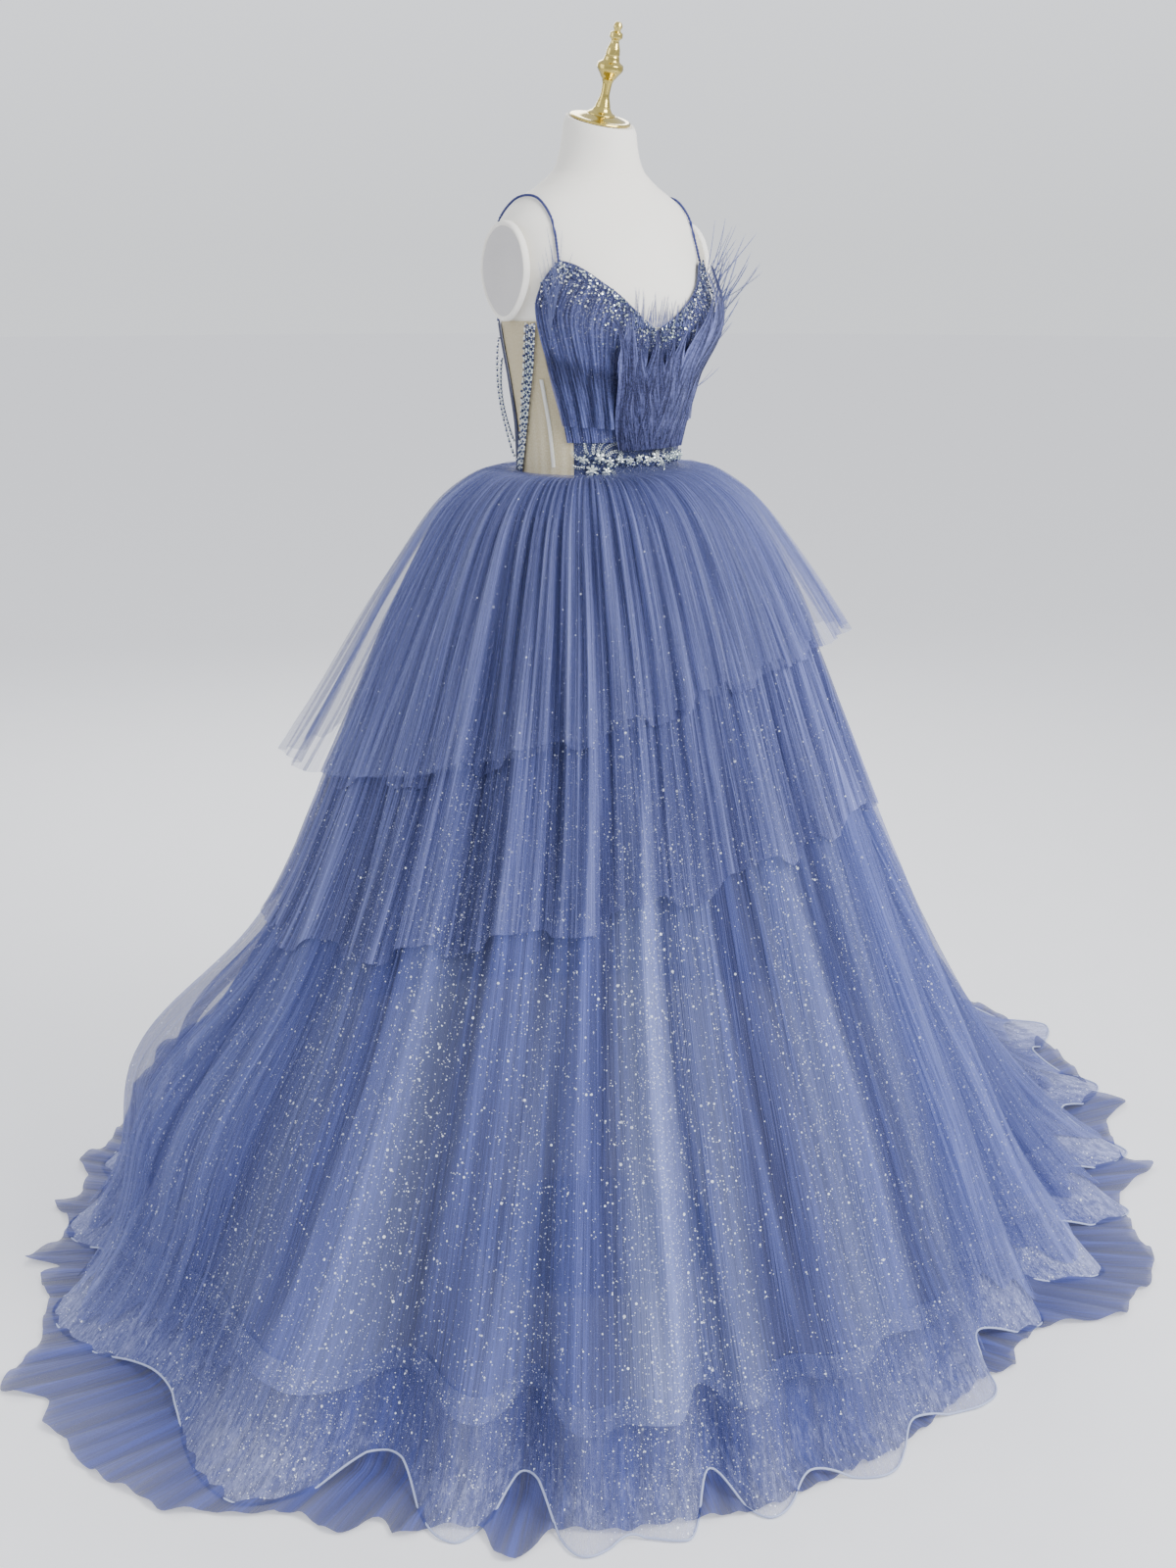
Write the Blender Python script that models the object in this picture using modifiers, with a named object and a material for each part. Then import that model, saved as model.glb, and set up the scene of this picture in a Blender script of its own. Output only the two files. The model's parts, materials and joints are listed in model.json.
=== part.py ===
"""High-low tiered tulle gown with a train, on a limbless dress form.

Metres, +Z up, the floor at z = 0, the stand's pole on the Z axis.
The gown's front faces -Y and the wearer's right side is at -X.
Angles round the body are degrees from the front, positive toward the wearer's left (+X).
"""

import math
from collections import namedtuple

import bmesh
import bpy
from mathutils import Matrix, Vector

# Driving sizes
COLLECTION_NAME = "tiered_gown_on_dress_form"
WAIST_Z = 1.090
SEAM_GAP = 0.0004
CLOTH_CLEAR = 0.0008          # form to the inner face of the bodice
MESH_WALL = 0.0011
CLOTH_WALL = 0.0015
PANEL_OUT = CLOTH_CLEAR + MESH_WALL                      # outer face of the bodice's base layer
CUP_IN = PANEL_OUT + 0.0014   # the cups lap over the base layer
TRIM_IN = PANEL_OUT + 0.0008   # strips sewn on the side mesh
CUP_PLEAT = 0.0013
CUP_OUT = CUP_IN + CLOTH_WALL + CUP_PLEAT
DRAPE_IN = CUP_OUT + 2.0 * SEAM_GAP
DRAPE_RELIEF = 0.011

# Dress form
FORM_BOTTOM_Z = 0.800
NECK_TOP_Z = 1.5335
NECK_TILT = math.radians(17.0)
NECK_TOP_SHIFT = -0.004
NECK_BASE_Z = 1.452
NECK_TILT_START_Z = 1.474
BODY_STEP_DEG = 1.0           # steps at which the form's slope is measured
BODY_STEP_Z = 0.003
BUST_PUSH = 0.021
BUST_DEG = 36.0
BUST_SPREAD_DEG = 22.0
BUST_Z = 1.285
BUST_SPREAD_Z = 0.048
ARM_FLAT_X = 0.1465
FORM_COLUMNS = 32
FORM_INSET = 0.0009
FORM_INSET_TOP_Z = 1.370
ARM_PLATE_CENTRE_Z = 1.345
ARM_PLATE_HALF_DEPTH = 0.046
ARM_PLATE_HALF_HEIGHT = 0.062
ARM_PLATE_THICK = 0.009
ARM_PLATE_EDGE = 0.003
ARM_PLATE_SEGMENTS = 20
NECK_PLATE_RADIUS = 0.0395
NECK_PLATE_THICK = 0.0035
NECK_PLATE_EDGE = 0.0012
NECK_PLATE_SEGMENTS = 20
POLE_RADIUS = 0.0125
BASE_RADIUS = 0.170
BASE_HEIGHT = 0.018
POLE_SEGMENTS = 16
BASE_SEGMENTS = 40
SHARP_DEG = 40.0

BodySection = namedtuple("BodySection", "z half_width front back")
BODY = (
    BodySection(0.800, 0.150, 0.112, 0.112),
    BodySection(0.870, 0.160, 0.116, 0.120),
    BodySection(0.960, 0.150, 0.110, 0.114),
    BodySection(1.030, 0.128, 0.099, 0.100),
    BodySection(1.090, 0.1130, 0.0895, 0.0895),
    BodySection(1.140, 0.1155, 0.0925, 0.0880),
    BodySection(1.200, 0.1250, 0.1010, 0.0900),
    BodySection(1.270, 0.1390, 0.1110, 0.0960),
    BodySection(1.310, 0.1450, 0.1120, 0.0990),
    BodySection(1.355, 0.1490, 0.0980, 0.1010),
    BodySection(1.400, 0.1460, 0.0760, 0.0980),
    BodySection(1.430, 0.1220, 0.0610, 0.0840),
    BodySection(1.452, 0.0860, 0.0540, 0.0640),
    BodySection(1.474, 0.0600, 0.0500, 0.0520),
    BodySection(1.500, 0.0510, 0.0480, 0.0470),
    BodySection(1.5335, 0.0460, 0.0450, 0.0450),
)
FORM_RING_Z = (0.800, 0.900, 1.000, 1.060, 1.090, 1.130, 1.175, 1.210, 1.245, 1.285, 1.325,
               1.365, 1.395, 1.418, 1.434, 1.450, 1.470, 1.5335)

# Turned gold finial, from the neck plate up
FinialSection = namedtuple("FinialSection", "radius height")
FINIAL = (
    FinialSection(0.0180, 0.0000), FinialSection(0.0180, 0.0040), FinialSection(0.0125, 0.0080),
    FinialSection(0.0085, 0.0180), FinialSection(0.0058, 0.0300), FinialSection(0.0062, 0.0420),
    FinialSection(0.0110, 0.0520), FinialSection(0.0168, 0.0620), FinialSection(0.0162, 0.0665),
    FinialSection(0.0105, 0.0710), FinialSection(0.0082, 0.0850), FinialSection(0.0052, 0.0960),
    FinialSection(0.0084, 0.1005), FinialSection(0.0080, 0.1050), FinialSection(0.0042, 0.1080),
    FinialSection(0.0058, 0.1130), FinialSection(0.0040, 0.1180),
)
FINIAL_STEPS = 12

# Skirt: one row for each level down the cloth; a flute is the share of the hem's wave there
SkirtSection = namedtuple("SkirtSection", "s front_r front_z train_r train_z flute")
SKIRT = (
    SkirtSection(0.00, 0.1165, 1.0880, 0.1165, 1.0880, 0.00),
    SkirtSection(0.03, 0.1480, 1.0820, 0.1480, 1.0820, 0.01),
    SkirtSection(0.07, 0.1830, 1.0520, 0.1830, 1.0520, 0.03),
    SkirtSection(0.13, 0.2180, 0.9880, 0.2200, 0.9880, 0.05),
    SkirtSection(0.22, 0.2560, 0.9000, 0.2600, 0.9000, 0.07),
    SkirtSection(0.34, 0.3020, 0.7750, 0.3140, 0.7750, 0.10),
    SkirtSection(0.46, 0.3480, 0.6500, 0.3740, 0.6500, 0.14),
    SkirtSection(0.57, 0.3930, 0.5350, 0.4420, 0.5330, 0.18),
    SkirtSection(0.67, 0.4400, 0.4200, 0.5300, 0.4130, 0.24),
    SkirtSection(0.77, 0.4950, 0.2950, 0.6600, 0.2850, 0.34),
    SkirtSection(0.86, 0.5500, 0.1700, 0.8300, 0.1500, 0.50),
    SkirtSection(0.93, 0.6000, 0.0780, 0.9900, 0.0560, 0.74),
    SkirtSection(0.965, 0.6260, 0.0360, 1.0900, 0.0200, 0.88),
    SkirtSection(1.00, 0.6500, 0.0021, 1.1800, 0.0021, 1.00),
)
WAIST_RING_OUT = PANEL_OUT + 0.0009   # skirt's inner edge, out from the form
FRONT_REACH = SKIRT[-1].front_r
TRAIN_REACH = SKIRT[-1].train_r
HEM_LIFT = 0.020              # the hem rises in its valleys, in full where the wave is this deep
HEM_LIFT_WAVE = 0.05
WAIST_BLEND = 0.10            # levels over which the skirt leaves the waist's outline and angles
HEADING_BLEND = 0.12
LEVEL_STEP = 0.01
NORMAL_STEP_DEG = 0.5
NORMAL_STEP_LEVEL = 0.004

# Hem flutes, one row each: the crest that swings out and the valley after it
Flute = namedtuple("Flute", "crest_deg crest_reach valley_deg valley_reach")
FLUTES = (
    Flute(-113.0, 0.745, -93.0, 0.665),
    Flute(-73.0, 0.748, -62.5, 0.615),
    Flute(-52.5, 0.715, -47.5, 0.612),
    Flute(-41.0, 0.722, -36.5, 0.690),
    Flute(-32.0, 0.700, -28.0, 0.610),
    Flute(-23.5, 0.680, -17.0, 0.630),
    Flute(-10.0, 0.660, -1.0, 0.605),
    Flute(9.0, 0.635, 19.0, 0.565),
    Flute(28.0, 0.625, 35.0, 0.590),
    Flute(42.0, 0.700, 49.0, 0.640),
    Flute(56.0, 0.775, 62.5, 0.715),
    Flute(69.0, 0.865, 76.0, 0.820),
    Flute(83.0, 0.990, 89.0, 0.960),
    Flute(95.0, 1.130, 102.0, 1.070),
    Flute(109.0, 1.190, 116.5, 1.120),
    Flute(124.0, 1.210, 131.5, 1.140),
    Flute(139.0, 1.225, 146.0, 1.150),
    Flute(153.0, 1.220, 160.5, 1.135),
    Flute(168.0, 1.180, 175.5, 1.080),
    Flute(183.0, 1.070, 190.0, 0.940),
    Flute(198.0, 0.880, 205.5, 0.790),
    Flute(213.0, 0.785, 220.0, 0.710),
    Flute(228.0, 0.755, 238.0, 0.680),
)

# The skirt's sheer cloth billows out low on the wearer's right, behind
BILLOW_DEG = -128.0
BILLOW_SPREAD_DEG = 32.0
BILLOW_Z = 0.270
BILLOW_SPREAD_Z = 0.130
BILLOW_OUT = 0.085

# Deep fold in the upper skirt on the wearer's right front
DEEP_FOLD_DEG = -66.0
DEEP_FOLD_SPREAD_DEG = 5.0
DEEP_FOLD_IN = 0.016
DEEP_FOLD_Z = 0.86
DEEP_FOLD_SPREAD_Z = 0.17

# Levels of the skirt's rows down the cloth
YOKE_ROWS = (0.0, 0.045, 0.12, 0.22)
TIER_ROW = 0.42
MAIN_ROWS = YOKE_ROWS + (TIER_ROW, 0.60, 0.74, 0.84, 0.915)
BRAID_ROWS = (0.9154, 0.96, 1.0)

# Tiers: the hem is a tilted ring, high in front and low behind
Tier = namedtuple("Tier", "hem_z hem_tilt clear flare ruffle")
TIER_TILT_DEG = 32.0
LAYER_GAP = 0.0008
UPPER_TIER = Tier(0.765, 0.095, LAYER_GAP, 0.014, 0.006)
LOWER_TIER = Tier(0.560, 0.090, LAYER_GAP, 0.010, 0.007)
GATHER_OUT = 0.0022
GATHER_START = 0.06
GATHER_FADE = 0.55
TIER_FLARE_POWER = 1.6
VEIL_FLARE_POWER = 1.25

VeilFlare = namedtuple("VeilFlare", "deg out")
VEIL_FLARES = (
    VeilFlare(-180.0, 0.040), VeilFlare(-130.0, 0.058), VeilFlare(-100.0, 0.040),
    VeilFlare(-70.0, 0.012), VeilFlare(-30.0, 0.008), VeilFlare(5.0, 0.012),
    VeilFlare(40.0, 0.038), VeilFlare(60.0, 0.042), VeilFlare(110.0, 0.034),
    VeilFlare(180.0, 0.040),
)

# Under-tulle that spreads on the floor beyond the hem
UnderReach = namedtuple("UnderReach", "deg reach")
UNDER = (
    UnderReach(-120.0, 0.765), UnderReach(-97.0, 0.815), UnderReach(-86.0, 0.835),
    UnderReach(-76.0, 0.815), UnderReach(-64.0, 0.735), UnderReach(-45.0, 0.705),
    UnderReach(-28.0, 0.690), UnderReach(-10.0, 0.655), UnderReach(12.0, 0.630),
    UnderReach(24.0, 0.640), UnderReach(33.0, 0.730), UnderReach(42.0, 0.785),
    UnderReach(55.0, 0.790), UnderReach(70.0, 0.880), UnderReach(90.0, 1.060),
    UnderReach(110.0, 1.205), UnderReach(140.0, 1.245), UnderReach(165.0, 1.220),
    UnderReach(190.0, 1.010), UnderReach(205.0, 0.860), UnderReach(225.0, 0.785),
    UnderReach(240.0, 0.765),
)
UNDER_WALL = 0.0012
UNDER_TIP = 0.012
UNDER_INSET = 0.015
UNDER_BEND = 0.35
FLOOR_CLEAR = 0.0004

# Bodice outlines, for the wearer's left; the right side mirrors them
EdgePoint = namedtuple("EdgePoint", "z deg")
CUP_OUTER_EDGE = (
    EdgePoint(1.130, 54.5), EdgePoint(1.170, 58.0), EdgePoint(1.220, 62.5), EdgePoint(1.270, 66.0),
    EdgePoint(1.300, 67.0), EdgePoint(1.330, 62.0), EdgePoint(1.358, 50.0),
)
NecklinePoint = namedtuple("NecklinePoint", "deg z")
NECKLINE = (
    NecklinePoint(0.0, 1.272), NecklinePoint(10.0, 1.287), NecklinePoint(26.0, 1.322),
    NecklinePoint(42.0, 1.352), NecklinePoint(50.0, 1.358),
)
CUP_BOTTOM_Z = 1.132
CUP_CENTRE_DEG = 0.25
CUP_PLEAT_TOP = 0.35          # share of the pleats' height left at the neckline
CUP_COLUMNS = 18
CUP_ROWS = 8
FRONT_EDGE_DEG = 50.0
FRONT_TOP_Z = 1.190
MESH_FRONT_DEG = 50.4
MESH_BACK_DEG = 103.6
MESH_TOP_Z = 1.284
BACK_START_DEG = 104.0
BACK_END_DEG = 128.0
BACK_TOP_Z = 1.274
SIDE_BOTTOM_Z = 1.0950
BODICE_BOTTOM_Z = 1.0912
LACE_EDGE = (
    EdgePoint(1.098, 100.0), EdgePoint(1.160, 89.5), EdgePoint(1.220, 79.0), EdgePoint(1.280, 71.5),
)
LACE_HALF_DEG = 3.0
LACE_WALL = 0.0014
BONING_EDGE = (EdgePoint(1.100, 65.5), EdgePoint(1.212, 70.0))
BONING_HALF_DEG = 1.5
BONING_WALL = 0.0018

# Draped centre locks: one row for each raised lock
Lock = namedtuple("Lock", "top_deg bottom_deg width_deg height")
LOCKS = (
    Lock(-26.0, -13.0, 4.2, 0.60), Lock(-18.0, -9.0, 3.4, 0.90), Lock(-10.0, -4.5, 3.2, 0.75),
    Lock(-2.5, 0.5, 3.0, 1.00), Lock(6.0, 5.5, 3.4, 0.80), Lock(14.5, 10.5, 3.6, 1.00),
    Lock(24.0, 16.0, 4.2, 0.85), Lock(34.0, 22.0, 4.8, 0.95),
)
DRAPE_TOP_EDGE_DEG = (-33.0, 44.0)
DRAPE_BOTTOM_EDGE_DEG = (-17.0, 27.0)
DRAPE_TOP_Z = 1.266
DRAPE_BOTTOM_Z = 1.1265
DRAPE_COLUMNS = 26
DRAPE_ROWS = 5
LOCK_NARROWING = 0.35
LOCK_LOWERING = 0.30
DRAPE_EDGE_SLOPE = 6.0        # the relief rises from the panel's side and top edges
DRAPE_TOP_SLOPE = 3.0
DRAPE_TOP_START = 0.35

# Crystal belt on the front waist: one row for each flower cluster
Cluster = namedtuple("Cluster", "deg half_deg half_height")
CLUSTERS = (Cluster(-36.0, 8.5, 0.0145), Cluster(13.0, 7.0, 0.0105), Cluster(46.0, 5.0, 0.0085))
BELT_HALF_DEG = 51.0
BELT_CENTRE_Z = 1.1075
BELT_HALF_HEIGHT = 0.0045
BELT_WALL = 0.0016
BELT_BEAD = 0.0028
BELT_COLUMNS = 44
BELT_HANG = 0.002             # the belt reaches this much further down at its clusters
BELT_BEAD_FLOOR = 0.55

STRAP_RADIUS = 0.0019
STRAP_CLEAR = 0.0012
STRAP_X = 0.114
STRAP_START_DEG = 50.6
STRAP_TOP_STEPS = 15
STRAP_FRONT_STEPS = 1
STRAP_FRONT_Z = 1.3582
STRAP_BACK_STEPS = 3
STRAP_BACK_Z = 1.2815

# Bead strings that hang from the back edges: one row each, with the lengths of the hang
BeadString = namedtuple("BeadString", "name top_z bottom_z deg swing")
BEAD_STRINGS = (
    BeadString("long", 1.262, 1.106, 124.5, 0.020),
    BeadString("short", 1.236, 1.128, 119.5, 0.013),
)
BEAD_RADIUS = 0.0015
BEAD_POINTS = 8

# Feather sprays: a backing strip and its strands
Spray = namedtuple("Spray", "name start_deg start_z end_deg end_z out count length up outward sweep fan")
ON_PLEATS = CUP_OUT + SEAM_GAP
ON_NECKLINE = CUP_IN + CLOTH_WALL + 0.0009
SPRAYS = (
    Spray("feather_spray_left", 47.0, 1.332, 52.0, 1.180, ON_PLEATS, 24, 0.098, 0.62, 0.70, 0.20, 0.0),
    Spray("feather_spray_right", -52.0, 1.326, -59.0, 1.256, ON_PLEATS, 12, 0.075, 0.70, 0.50, -0.25, 0.0),
    Spray("feather_spray_centre", -17.0, 1.2775, 17.0, 1.2775, ON_NECKLINE, 12, 0.042, 0.95, 0.30, 0.0, 0.5),
)
STRIP_DEPTH = 0.0022
STRIP_HEIGHT = 0.0036
STRAND_STEPS = 3
STRAND_TAPER = 0.55
STRAND_BOW = 0.45
STRAND_CURL = 9.0
STRAND_SHORTEST = 0.62
STRAND_RHYTHM = 1.9
STRAND_PHASE = 0.7

MATERIALS = {
    "form_cloth": ((0.82, 0.78, 0.70), 0.75, 0.0),
    "form_plate_grey": ((0.52, 0.51, 0.50), 0.55, 0.0),
    "polished_gold": ((0.83, 0.62, 0.24), 0.18, 1.0),
    "stand_steel": ((0.62, 0.62, 0.64), 0.30, 1.0),
    "glitter_tulle": ((0.14, 0.18, 0.43), 0.60, 0.0),
    "sheer_tulle": ((0.20, 0.25, 0.50), 0.65, 0.0),
    "under_tulle": ((0.08, 0.11, 0.32), 0.70, 0.0),
    "hem_braid": ((0.42, 0.50, 0.72), 0.45, 0.0),
    "beaded_lace": ((0.17, 0.21, 0.45), 0.50, 0.0),
    "illusion_mesh": ((0.55, 0.47, 0.36), 0.60, 0.0),
    "boning_tape": ((0.82, 0.82, 0.78), 0.60, 0.0),
    "placket_satin": ((0.06, 0.09, 0.26), 0.50, 0.0),
    "crystal": ((0.70, 0.78, 0.80), 0.12, 0.0),
    "feather": ((0.24, 0.30, 0.56), 0.70, 0.0),
}


def curve_at(xs, ys, x):
    """Smooth curve through (xs, ys), ends held, with slopes that never overshoot."""
    if x <= xs[0]:
        return ys[0]
    if x >= xs[-1]:
        return ys[-1]
    i = max(k for k in range(len(xs) - 1) if xs[k] <= x)
    width = xs[i + 1] - xs[i]
    slopes = [(ys[k + 1] - ys[k]) / (xs[k + 1] - xs[k]) for k in range(len(xs) - 1)]

    def tangent(k):
        if k == 0 or k == len(xs) - 1:
            return slopes[0] if k == 0 else slopes[-1]
        before, after = slopes[k - 1], slopes[k]
        return 0.0 if before * after <= 0.0 else 2.0 * before * after / (before + after)

    t = (x - xs[i]) / width
    start, end = tangent(i) * width, tangent(i + 1) * width
    rise = ys[i + 1] - ys[i]
    return ys[i] + t * (start + t * (3.0 * rise - 2.0 * start - end + t * (start + end - 2.0 * rise)))


def column_of(rows, key, field, x):
    """Value of one named column of a table at key = x."""
    ordered = sorted(rows, key=lambda row: getattr(row, key))
    xs = [getattr(row, key) for row in ordered]
    return curve_at(xs, [getattr(row, field) for row in ordered], x)


def bell(distance, spread):
    return math.exp(-((distance / spread) ** 2))


def turn_apart(a, b):
    """Smallest angle between two directions in degrees, signed."""
    return (a - b + 180.0) % 360.0 - 180.0


def body_surface(deg, z):
    """Point of the dress form at an angle from the front and a height."""
    angle = math.radians(deg)
    width = column_of(BODY, "z", "half_width", z)
    front = column_of(BODY, "z", "front", z)
    back = column_of(BODY, "z", "back", z)
    depth = back + (front - back) * (1.0 + math.cos(angle)) / 2.0
    bust = BUST_PUSH * bell(abs(turn_apart(deg, 0.0)) - BUST_DEG, BUST_SPREAD_DEG)
    bust *= bell(z - BUST_Z, BUST_SPREAD_Z)
    x = (width + bust) * math.sin(angle)
    y = -(depth + bust) * math.cos(angle)
    lean = NECK_TOP_SHIFT * max(0.0, (z - NECK_BASE_Z) / (NECK_TOP_Z - NECK_BASE_Z))
    return Vector((x, y + lean, z))


def body_point(deg, z, out=0.0):
    """Point moved out from the form along its own surface direction."""
    here = body_surface(deg, z)
    if out == 0.0:
        return here
    across = body_surface(deg + BODY_STEP_DEG, z) - body_surface(deg - BODY_STEP_DEG, z)
    down = body_surface(deg, z - BODY_STEP_Z) - body_surface(deg, z + BODY_STEP_Z)
    normal = down.cross(across).normalized()
    return here + normal * out


def hem_extremes():
    """Crest and valley angles with their reach, in order, over one full turn."""
    points = []
    for flute in FLUTES:
        points.append((flute.crest_deg, flute.crest_reach))
        points.append((flute.valley_deg, flute.valley_reach))
    return points


def hem_reach(deg):
    """Hem distance from the axis, waving between crests and valleys."""
    points = hem_extremes()
    start = points[0][0]
    deg = (deg - start) % 360.0 + start
    points.append((start + 360.0, points[0][1]))
    for (a, ra), (b, rb) in zip(points, points[1:]):
        if a <= deg <= b:
            share = (1.0 - math.cos(math.pi * (deg - a) / (b - a))) / 2.0
            return ra + (rb - ra) * share
    return points[0][1]


def hem_outline(deg):
    """Hem distance with the flutes smoothed away."""
    points = [((f.crest_deg + f.valley_deg) / 2.0, (f.crest_reach + f.valley_reach) / 2.0)
              for f in FLUTES]
    start = points[0][0]
    deg = (deg - start) % 360.0 + start
    xs = [p[0] for p in points] + [start + 360.0]
    ys = [p[1] for p in points] + [points[0][1]]
    return curve_at(xs, ys, deg)


def skirt_columns():
    """Column angles: every crest and valley, and one between each two."""
    angles = []
    points = hem_extremes() + [(FLUTES[0].crest_deg + 360.0, 0.0)]
    for (a, _), (b, _) in zip(points, points[1:]):
        angles += [a, (a + b) / 2.0]
    return angles


def skirt_profile(deg, s):
    """Smooth radius and height of the skirt, without its flutes."""
    share = (hem_outline(deg) - FRONT_REACH) / (TRAIN_REACH - FRONT_REACH)
    front_r = column_of(SKIRT, "s", "front_r", s)
    front_z = column_of(SKIRT, "s", "front_z", s)
    train_r = column_of(SKIRT, "s", "train_r", s)
    train_z = column_of(SKIRT, "s", "train_z", s)
    radius = front_r + (train_r - front_r) * share
    height = front_z + (train_z - front_z) * max(0.0, share)
    waist = body_point(deg, WAIST_Z, WAIST_RING_OUT)
    radius += (math.hypot(waist.x, waist.y) - SKIRT[0].front_r) * math.exp(-s / WAIST_BLEND)
    billow = bell(turn_apart(deg, BILLOW_DEG), BILLOW_SPREAD_DEG) * bell(height - BILLOW_Z, BILLOW_SPREAD_Z)
    return radius + BILLOW_OUT * billow, height


def skirt_heading(deg, s):
    """Direction out of the axis; the waist ring keeps the form's own angles."""
    waist = body_surface(deg, WAIST_Z)
    turned = math.degrees(math.atan2(waist.x, -waist.y))
    blend = math.exp(-s / HEADING_BLEND)
    angle = math.radians(deg + turn_apart(turned, deg) * blend)
    return Vector((math.sin(angle), -math.cos(angle), 0.0))


def skirt_point(deg, s, out=0.0):
    """Point of the skirt's inner face at a level s, moved out by some distance."""
    radius, height = skirt_profile(deg, s)
    above = skirt_profile(deg, max(0.0, s - LEVEL_STEP))
    below = skirt_profile(deg, min(1.0, s + LEVEL_STEP))
    normal = Vector((above[1] - below[1], below[0] - above[0])).normalized()
    flute = column_of(SKIRT, "s", "flute", s)
    wave = hem_reach(deg) - hem_outline(deg)
    lift = HEM_LIFT * min(1.0, max(0.0, -wave) / HEM_LIFT_WAVE) * flute * flute
    fold_window = bell(height - DEEP_FOLD_Z, DEEP_FOLD_SPREAD_Z)
    fold = DEEP_FOLD_IN * bell(turn_apart(deg, DEEP_FOLD_DEG), DEEP_FOLD_SPREAD_DEG) * fold_window
    radius += wave * flute - fold + out * normal.x
    return skirt_heading(deg, s) * radius + Vector((0.0, 0.0, height + lift + out * normal.y))


def level_of(height):
    """Level s down the cloth at which the front skirt is at a height."""
    rows = sorted(SKIRT, key=lambda row: row.front_z)
    return curve_at([row.front_z for row in rows], [row.s for row in rows], height)


def tier_hem_z(tier, deg):
    return tier.hem_z + tier.hem_tilt * math.cos(math.radians(deg - TIER_TILT_DEG))


def tier_levels(tier, deg):
    """Levels of a tier that starts at the waist: the yoke's own, then its hem."""
    return YOKE_ROWS + (level_of(tier_hem_z(tier, deg)),)


def gather(column, share):
    """Alternate columns stand out in the gathers below the waist."""
    rise = min(1.0, share / GATHER_START) * max(0.0, 1.0 - share / GATHER_FADE)
    return GATHER_OUT * rise * (column % 2)


def ruffle(tier, column, share):
    """Soft waves that grow toward a tier's hem, one for each flute."""
    return tier.ruffle * share * share * (1.0 - math.cos(math.pi * column / 2.0)) / 2.0


def tier_rings(tier, levels, extra):
    """Rows of (angle, level, distance out) for one tier; extra(column, angle, share) adds to the last."""
    rings = [[] for _ in levels(skirt_columns()[0])]
    for column, deg in enumerate(skirt_columns()):
        steps = levels(deg)
        for ring, s in zip(rings, steps):
            share = (s - steps[0]) / (steps[-1] - steps[0])
            out = tier.clear + CLOTH_WALL + tier.flare * share ** TIER_FLARE_POWER + ruffle(tier, column, share)
            ring.append((deg, s, out + extra(column, deg, share)))
    return rings


def upper_tier_rings():
    return tier_rings(UPPER_TIER, lambda deg: tier_levels(UPPER_TIER, deg),
                      lambda column, deg, share: gather(column, share))


def lower_tier_rings():
    def levels(deg):
        return YOKE_ROWS[-1], TIER_ROW, level_of(tier_hem_z(LOWER_TIER, deg))
    return tier_rings(LOWER_TIER, levels, lambda column, deg, share: 0.0)


def veil_rings():
    """Sheer outer layer of the upper tier, standing away at the sides and behind."""
    def extra(column, deg, share):
        flare = column_of(VEIL_FLARES, "deg", "out", turn_apart(deg, 0.0))
        return CLOTH_WALL + LAYER_GAP + gather(column, share) + flare * share ** VEIL_FLARE_POWER
    return tier_rings(UPPER_TIER, lambda deg: tier_levels(UPPER_TIER, deg), extra)


def level_rings(levels):
    return [[(deg, s, 0.0) for deg in skirt_columns()] for s in levels]


def skirt_normal(deg, s, out):
    across = skirt_point(deg + NORMAL_STEP_DEG, s, out) - skirt_point(deg - NORMAL_STEP_DEG, s, out)
    above, below = max(0.0, s - NORMAL_STEP_LEVEL), min(1.0, s + NORMAL_STEP_LEVEL)
    up = skirt_point(deg, above, out) - skirt_point(deg, below, out)
    return across.cross(up).normalized()


def under_tulle_faces():
    """Inner and outer rings: inside the hem seam, down to the floor, out beyond the hem."""
    degs = skirt_columns()[::2]
    level = MAIN_ROWS[-1]
    up = Vector((0.0, 0.0, 1.0))
    top, inner, outer = [], [], []
    for column, deg in enumerate(degs):
        heading = skirt_heading(deg, 1.0)
        seam = skirt_point(deg, level, -UNDER_INSET)
        wrapped = (deg - UNDER[0].deg) % 360.0 + UNDER[0].deg
        reach = column_of(UNDER, "deg", "reach", wrapped) + UNDER_TIP * (1 if column % 2 else -1)
        hem = hem_reach(deg)
        near = math.hypot(seam.x, seam.y)
        bend = near + (hem - near) * UNDER_BEND
        top.append((seam, skirt_normal(deg, level, 0.0)))
        inner.append((heading * bend + up * FLOOR_CLEAR, up))
        outer.append((heading * max(reach, hem + UNDER_TIP) + up * FLOOR_CLEAR, up))
    rows = (top, inner, outer)
    return [[p for p, _ in row] for row in rows], [[p + n * UNDER_WALL for p, n in row] for row in rows]


def make_material(name):
    colour, roughness, metallic = MATERIALS[name]
    material = bpy.data.materials.get(name)
    if material:
        return material
    material = bpy.data.materials.new(name)
    material.use_nodes = True
    shader = material.node_tree.nodes["Principled BSDF"]
    shader.inputs["Base Color"].default_value = (*colour, 1.0)
    shader.inputs["Roughness"].default_value = roughness
    shader.inputs["Metallic"].default_value = metallic
    return material


def add_object(name, data, material_name):
    obj = bpy.data.objects.new(name, data)
    bpy.data.collections[COLLECTION_NAME].objects.link(obj)
    data.materials.append(make_material(material_name))
    return obj


def add_bmesh(name, mesh_data, material_name, smooth=True):
    mesh = bpy.data.meshes.new(name)
    mesh_data.to_mesh(mesh)
    mesh_data.free()
    if smooth:
        mesh.shade_smooth()
        mesh.set_sharp_from_angle(angle=math.radians(SHARP_DEG))
    return add_object(name, mesh, material_name)


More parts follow.
